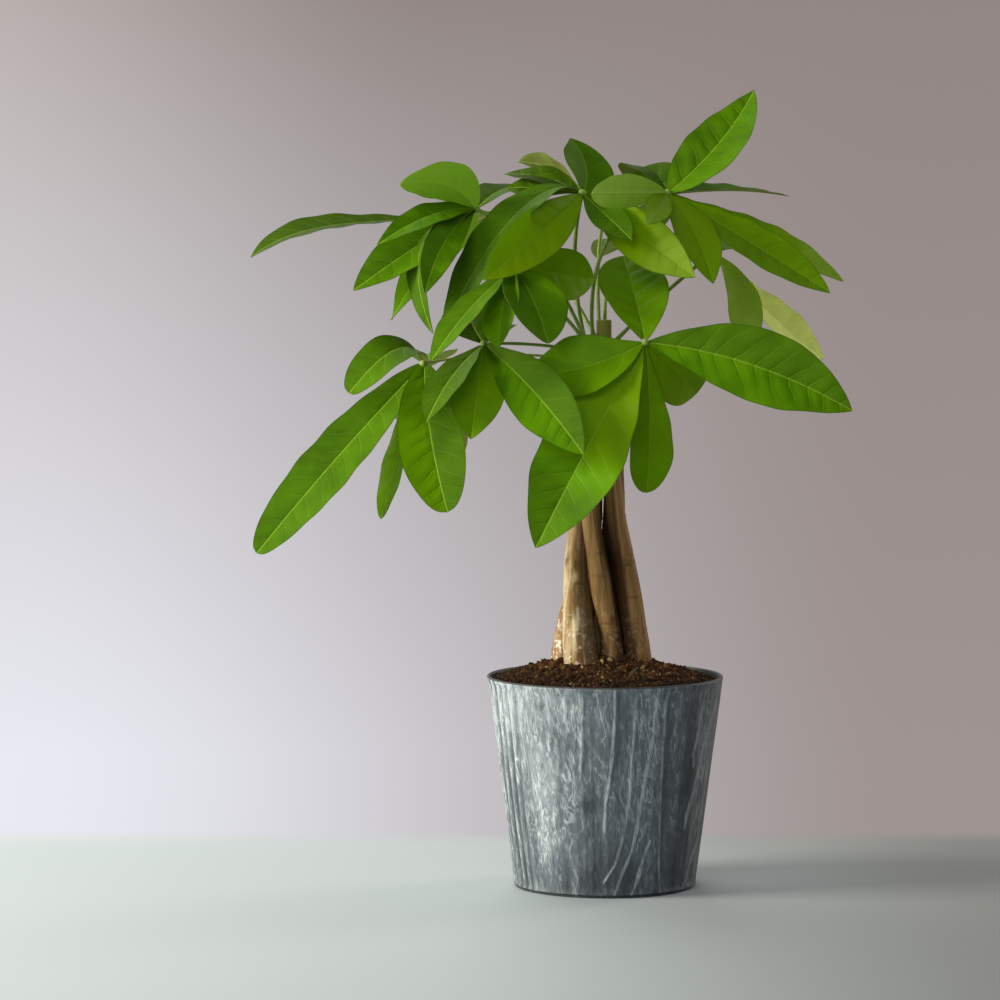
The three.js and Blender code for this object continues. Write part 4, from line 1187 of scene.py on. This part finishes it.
ring_r = POT_FOOT_RADIUS - FOOT_RING_INSET
foot_ring = [(ring_r - 0.6, 0.0), (ring_r, 0.4), (ring_r + 0.2, FOOT_RING_HEIGHT)]
wall = list(zip(outer_r, z_wall))
lip_r = POT_RIM_RADIUS - POT_WALL / 2 - 0.1
lip = [(lip_r + LIP_RADIUS * math.cos(b), lip_z + LIP_RADIUS * math.sin(b))
       for b in np.radians([20, 45, 70, 90, 110, 135, 160, 180])]
inside = [(pot_radius(h) - POT_WALL, h) for h in np.linspace(POT_HEIGHT - 4, POT_FLOOR + 1, INSIDE_ROWS)]
inside.append((pot_radius(POT_FLOOR) - POT_WALL - 1, POT_FLOOR))
rings = [np.stack([r * np.cos(flat_a), r * np.sin(flat_a), np.full(POT_SIDES, h)], -1)
         for r, h in foot_ring + wall + lip + inside]
points, faces = capped_tube(rings, (0, 0, 0), (0, 0, POT_FLOOR))
wall_rows = slice(len(foot_ring), len(foot_ring) + len(wall))
streak_mm = np.full((len(rings), POT_SIDES), NO_STREAK)
streak_mm[wall_rows] = distance
paleness_here = np.zeros((len(rings), POT_SIDES))
paleness_here[wall_rows] = np.clip(paleness(a, z) + 0.30 * left_ribs * rib_wave, 0, 1)
print("pot wall:", len(points), "points")

# %% [markdown]
# ## Weathered zinc paint
#
# The paint is matt blue-grey. How pale it is goes with the mesh: bands like narrow boards, clouds,
# the crests of the ribs, and painted light that pales it towards the top and the window side. Painted
# shade darkens the lip, the inside, the foot ring and the right side. Over that lie short upright
# flecks, and contour lines of a stretched, slowly twisting noise, which make nested loops as in sawn
# wood where the paint is rubbed palest. A wave texture could draw stripes, but they would never close up.

# %% Pot paint
# The flecks are 2.3 mm wide and 3.6 times as tall, the loops 17 mm wide and six times as tall, the
# worn patches 8 mm wide and the mottle 1.4 mm.
zinc, t = new_material("zinc-look paint on moulded plastic")
place = add(t, "TexCoord", out="Object")
height = add(t, "SeparateXYZ", [place], out="Z")
streak, tone, shaded = [add(t, "Attribute", out="Fac", attribute_name=name)
                        for name in ("streak_mm", "tone", "shaded")]
lean = add(t, "Math", [height, 2.2], operation="MULTIPLY")
turned = add(t, "VectorRotate", {"Vector": place, "Angle": lean}, rotation_type="Z_AXIS")
tall = add(t, "Mapping", {"Vector": turned, "Scale": (1, 1, 0.16)})
field = add(t, "TexNoise", {"Vector": tall, "Scale": 60, "Detail": 4, "Roughness": 0.55, "Distortion": 0.5})
many = add(t, "Math", [field, 15], operation="MULTIPLY")
contour = add(t, "Math", [many, 0.5], operation="PINGPONG")
grain = add(t, "MapRange", [contour, 0.28, 0.46])
upright = add(t, "Mapping", {"Vector": place, "Scale": (1, 1, 0.28)})
fleck = add(t, "TexNoise", {"Vector": upright, "Scale": 430, "Detail": 4, "Roughness": 0.65,
            "Distortion": 0.8})
mottle = add(t, "TexNoise", {"Vector": place, "Scale": 700, "Detail": 4, "Roughness": 0.7})
blotch = add(t, "TexNoise", {"Vector": upright, "Scale": 120, "Detail": 4, "Roughness": 0.6})

uneven = add(t, "Math", [blotch, 0.5, tone], operation="MULTIPLY_ADD")
uneven = add(t, "Math", [uneven, -0.25], operation="ADD")
low = add(t, "MapRange", [uneven, 0, 0.5])
high = add(t, "MapRange", [uneven, 0.5, 1])
rubbed = add(t, "MapRange", [uneven, 0.15, 0.85, 0.08])
worn = add(t, "Math", [grain, rubbed], operation="MULTIPLY")
patchy = add(t, "MapRange", [blotch, 0.4, 0.58])
worn = add(t, "Math", [worn, patchy], operation="MULTIPLY")
pale_fleck = add(t, "MapRange", [fleck, 0.54, 0.66])
pale_fleck = add(t, "Math", [pale_fleck, rubbed], operation="MULTIPLY")
worn = add(t, "Math", [worn, pale_fleck], operation="MAXIMUM")
pitted = add(t, "MapRange", [fleck, 0.46, 0.34, 0, 0.65])
lines = add(t, "MapRange", [streak, -0.4, 0.7, 0.85, 0])
broken = add(t, "MapRange", [fleck, 0.36, 0.54, 0.25])
lines = add(t, "Math", [lines, broken], operation="MULTIPLY")
dark_here = add(t, "Math", [shaded, 0.8], operation="MULTIPLY")
colour = add(t, "Mix", [low, "#363d40", "#68757a"], data_type="RGBA")
for share, tint in ((high, "#a9b6b8"), (worn, "#d3dddc"), (pitted, "#3b4548"), (lines, "#a4b0b2"),
                    (dark_here, "#2a2a27")):
    colour = add(t, "Mix", [share, colour, tint], data_type="RGBA")
relief = fleck
for part, share in ((worn, 0.8), (lines, 1), (mottle, 0.4)):
    relief = add(t, "Math", [part, share, relief], operation="MULTIPLY_ADD")
bump = add(t, "Bump", {"Strength": 0.5, "Distance": 0.0008, "Height": relief})
rough = add(t, "MapRange", [mottle, 0, 1, 0.42, 0.68])
paint = add(t, "BsdfPrincipled", {"Base Color": colour, "Roughness": rough, "IOR": 1.48, "Normal": bump,
            "Specular IOR Level": 0.5})
add(t, "OutputMaterial", {"Surface": paint})
print("pot paint:", len(t.nodes), "nodes")

# %% Dress the pot
LIP_AND_INSIDE_SHADE = 0.95
FOOT_SHADE = 0.7
SHADED_SIDE = -28
right_side = np.exp(-((turned_from(flat_a, math.radians(SHADED_SIDE)) / 0.55) ** 2))
shade = np.zeros((len(rings), 1))
shade[wall_rows.stop :] = LIP_AND_INSIDE_SHADE
shade[: wall_rows.start] = FOOT_SHADE
shade = np.maximum(shade, 0.42 * right_side[None, :])
values = {
    "streak_mm": np.append(streak_mm, [NO_STREAK, NO_STREAK]),
    "tone": np.append(paleness_here, [0.0, 0.0]),
    "shaded": np.append(shade, [FOOT_SHADE, 0.9]),
}
pot = mesh_object("zinc_look_pot", points, faces, [zinc], values, 40)
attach(pot, "root")
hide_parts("pot")
print("pot:", triangles(pot), "triangles")

# %% [markdown]
# ## Check the size
#
# The dressed tree is made to fit inside the box of the imported model. The spare room between the
# two boxes is printed for each side.

# %% Sizes
DRESSED_BOX = [list(corner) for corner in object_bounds()]
spare = [round((DRESSED_BOX[0][i] - CAD_BOX[0][i]) * 1000, 2) for i in range(3)]
spare += [round((CAD_BOX[1][i] - DRESSED_BOX[1][i]) * 1000, 2) for i in range(3)]
print("spare room in mm (low x, y, z, high x, y, z):", spare)
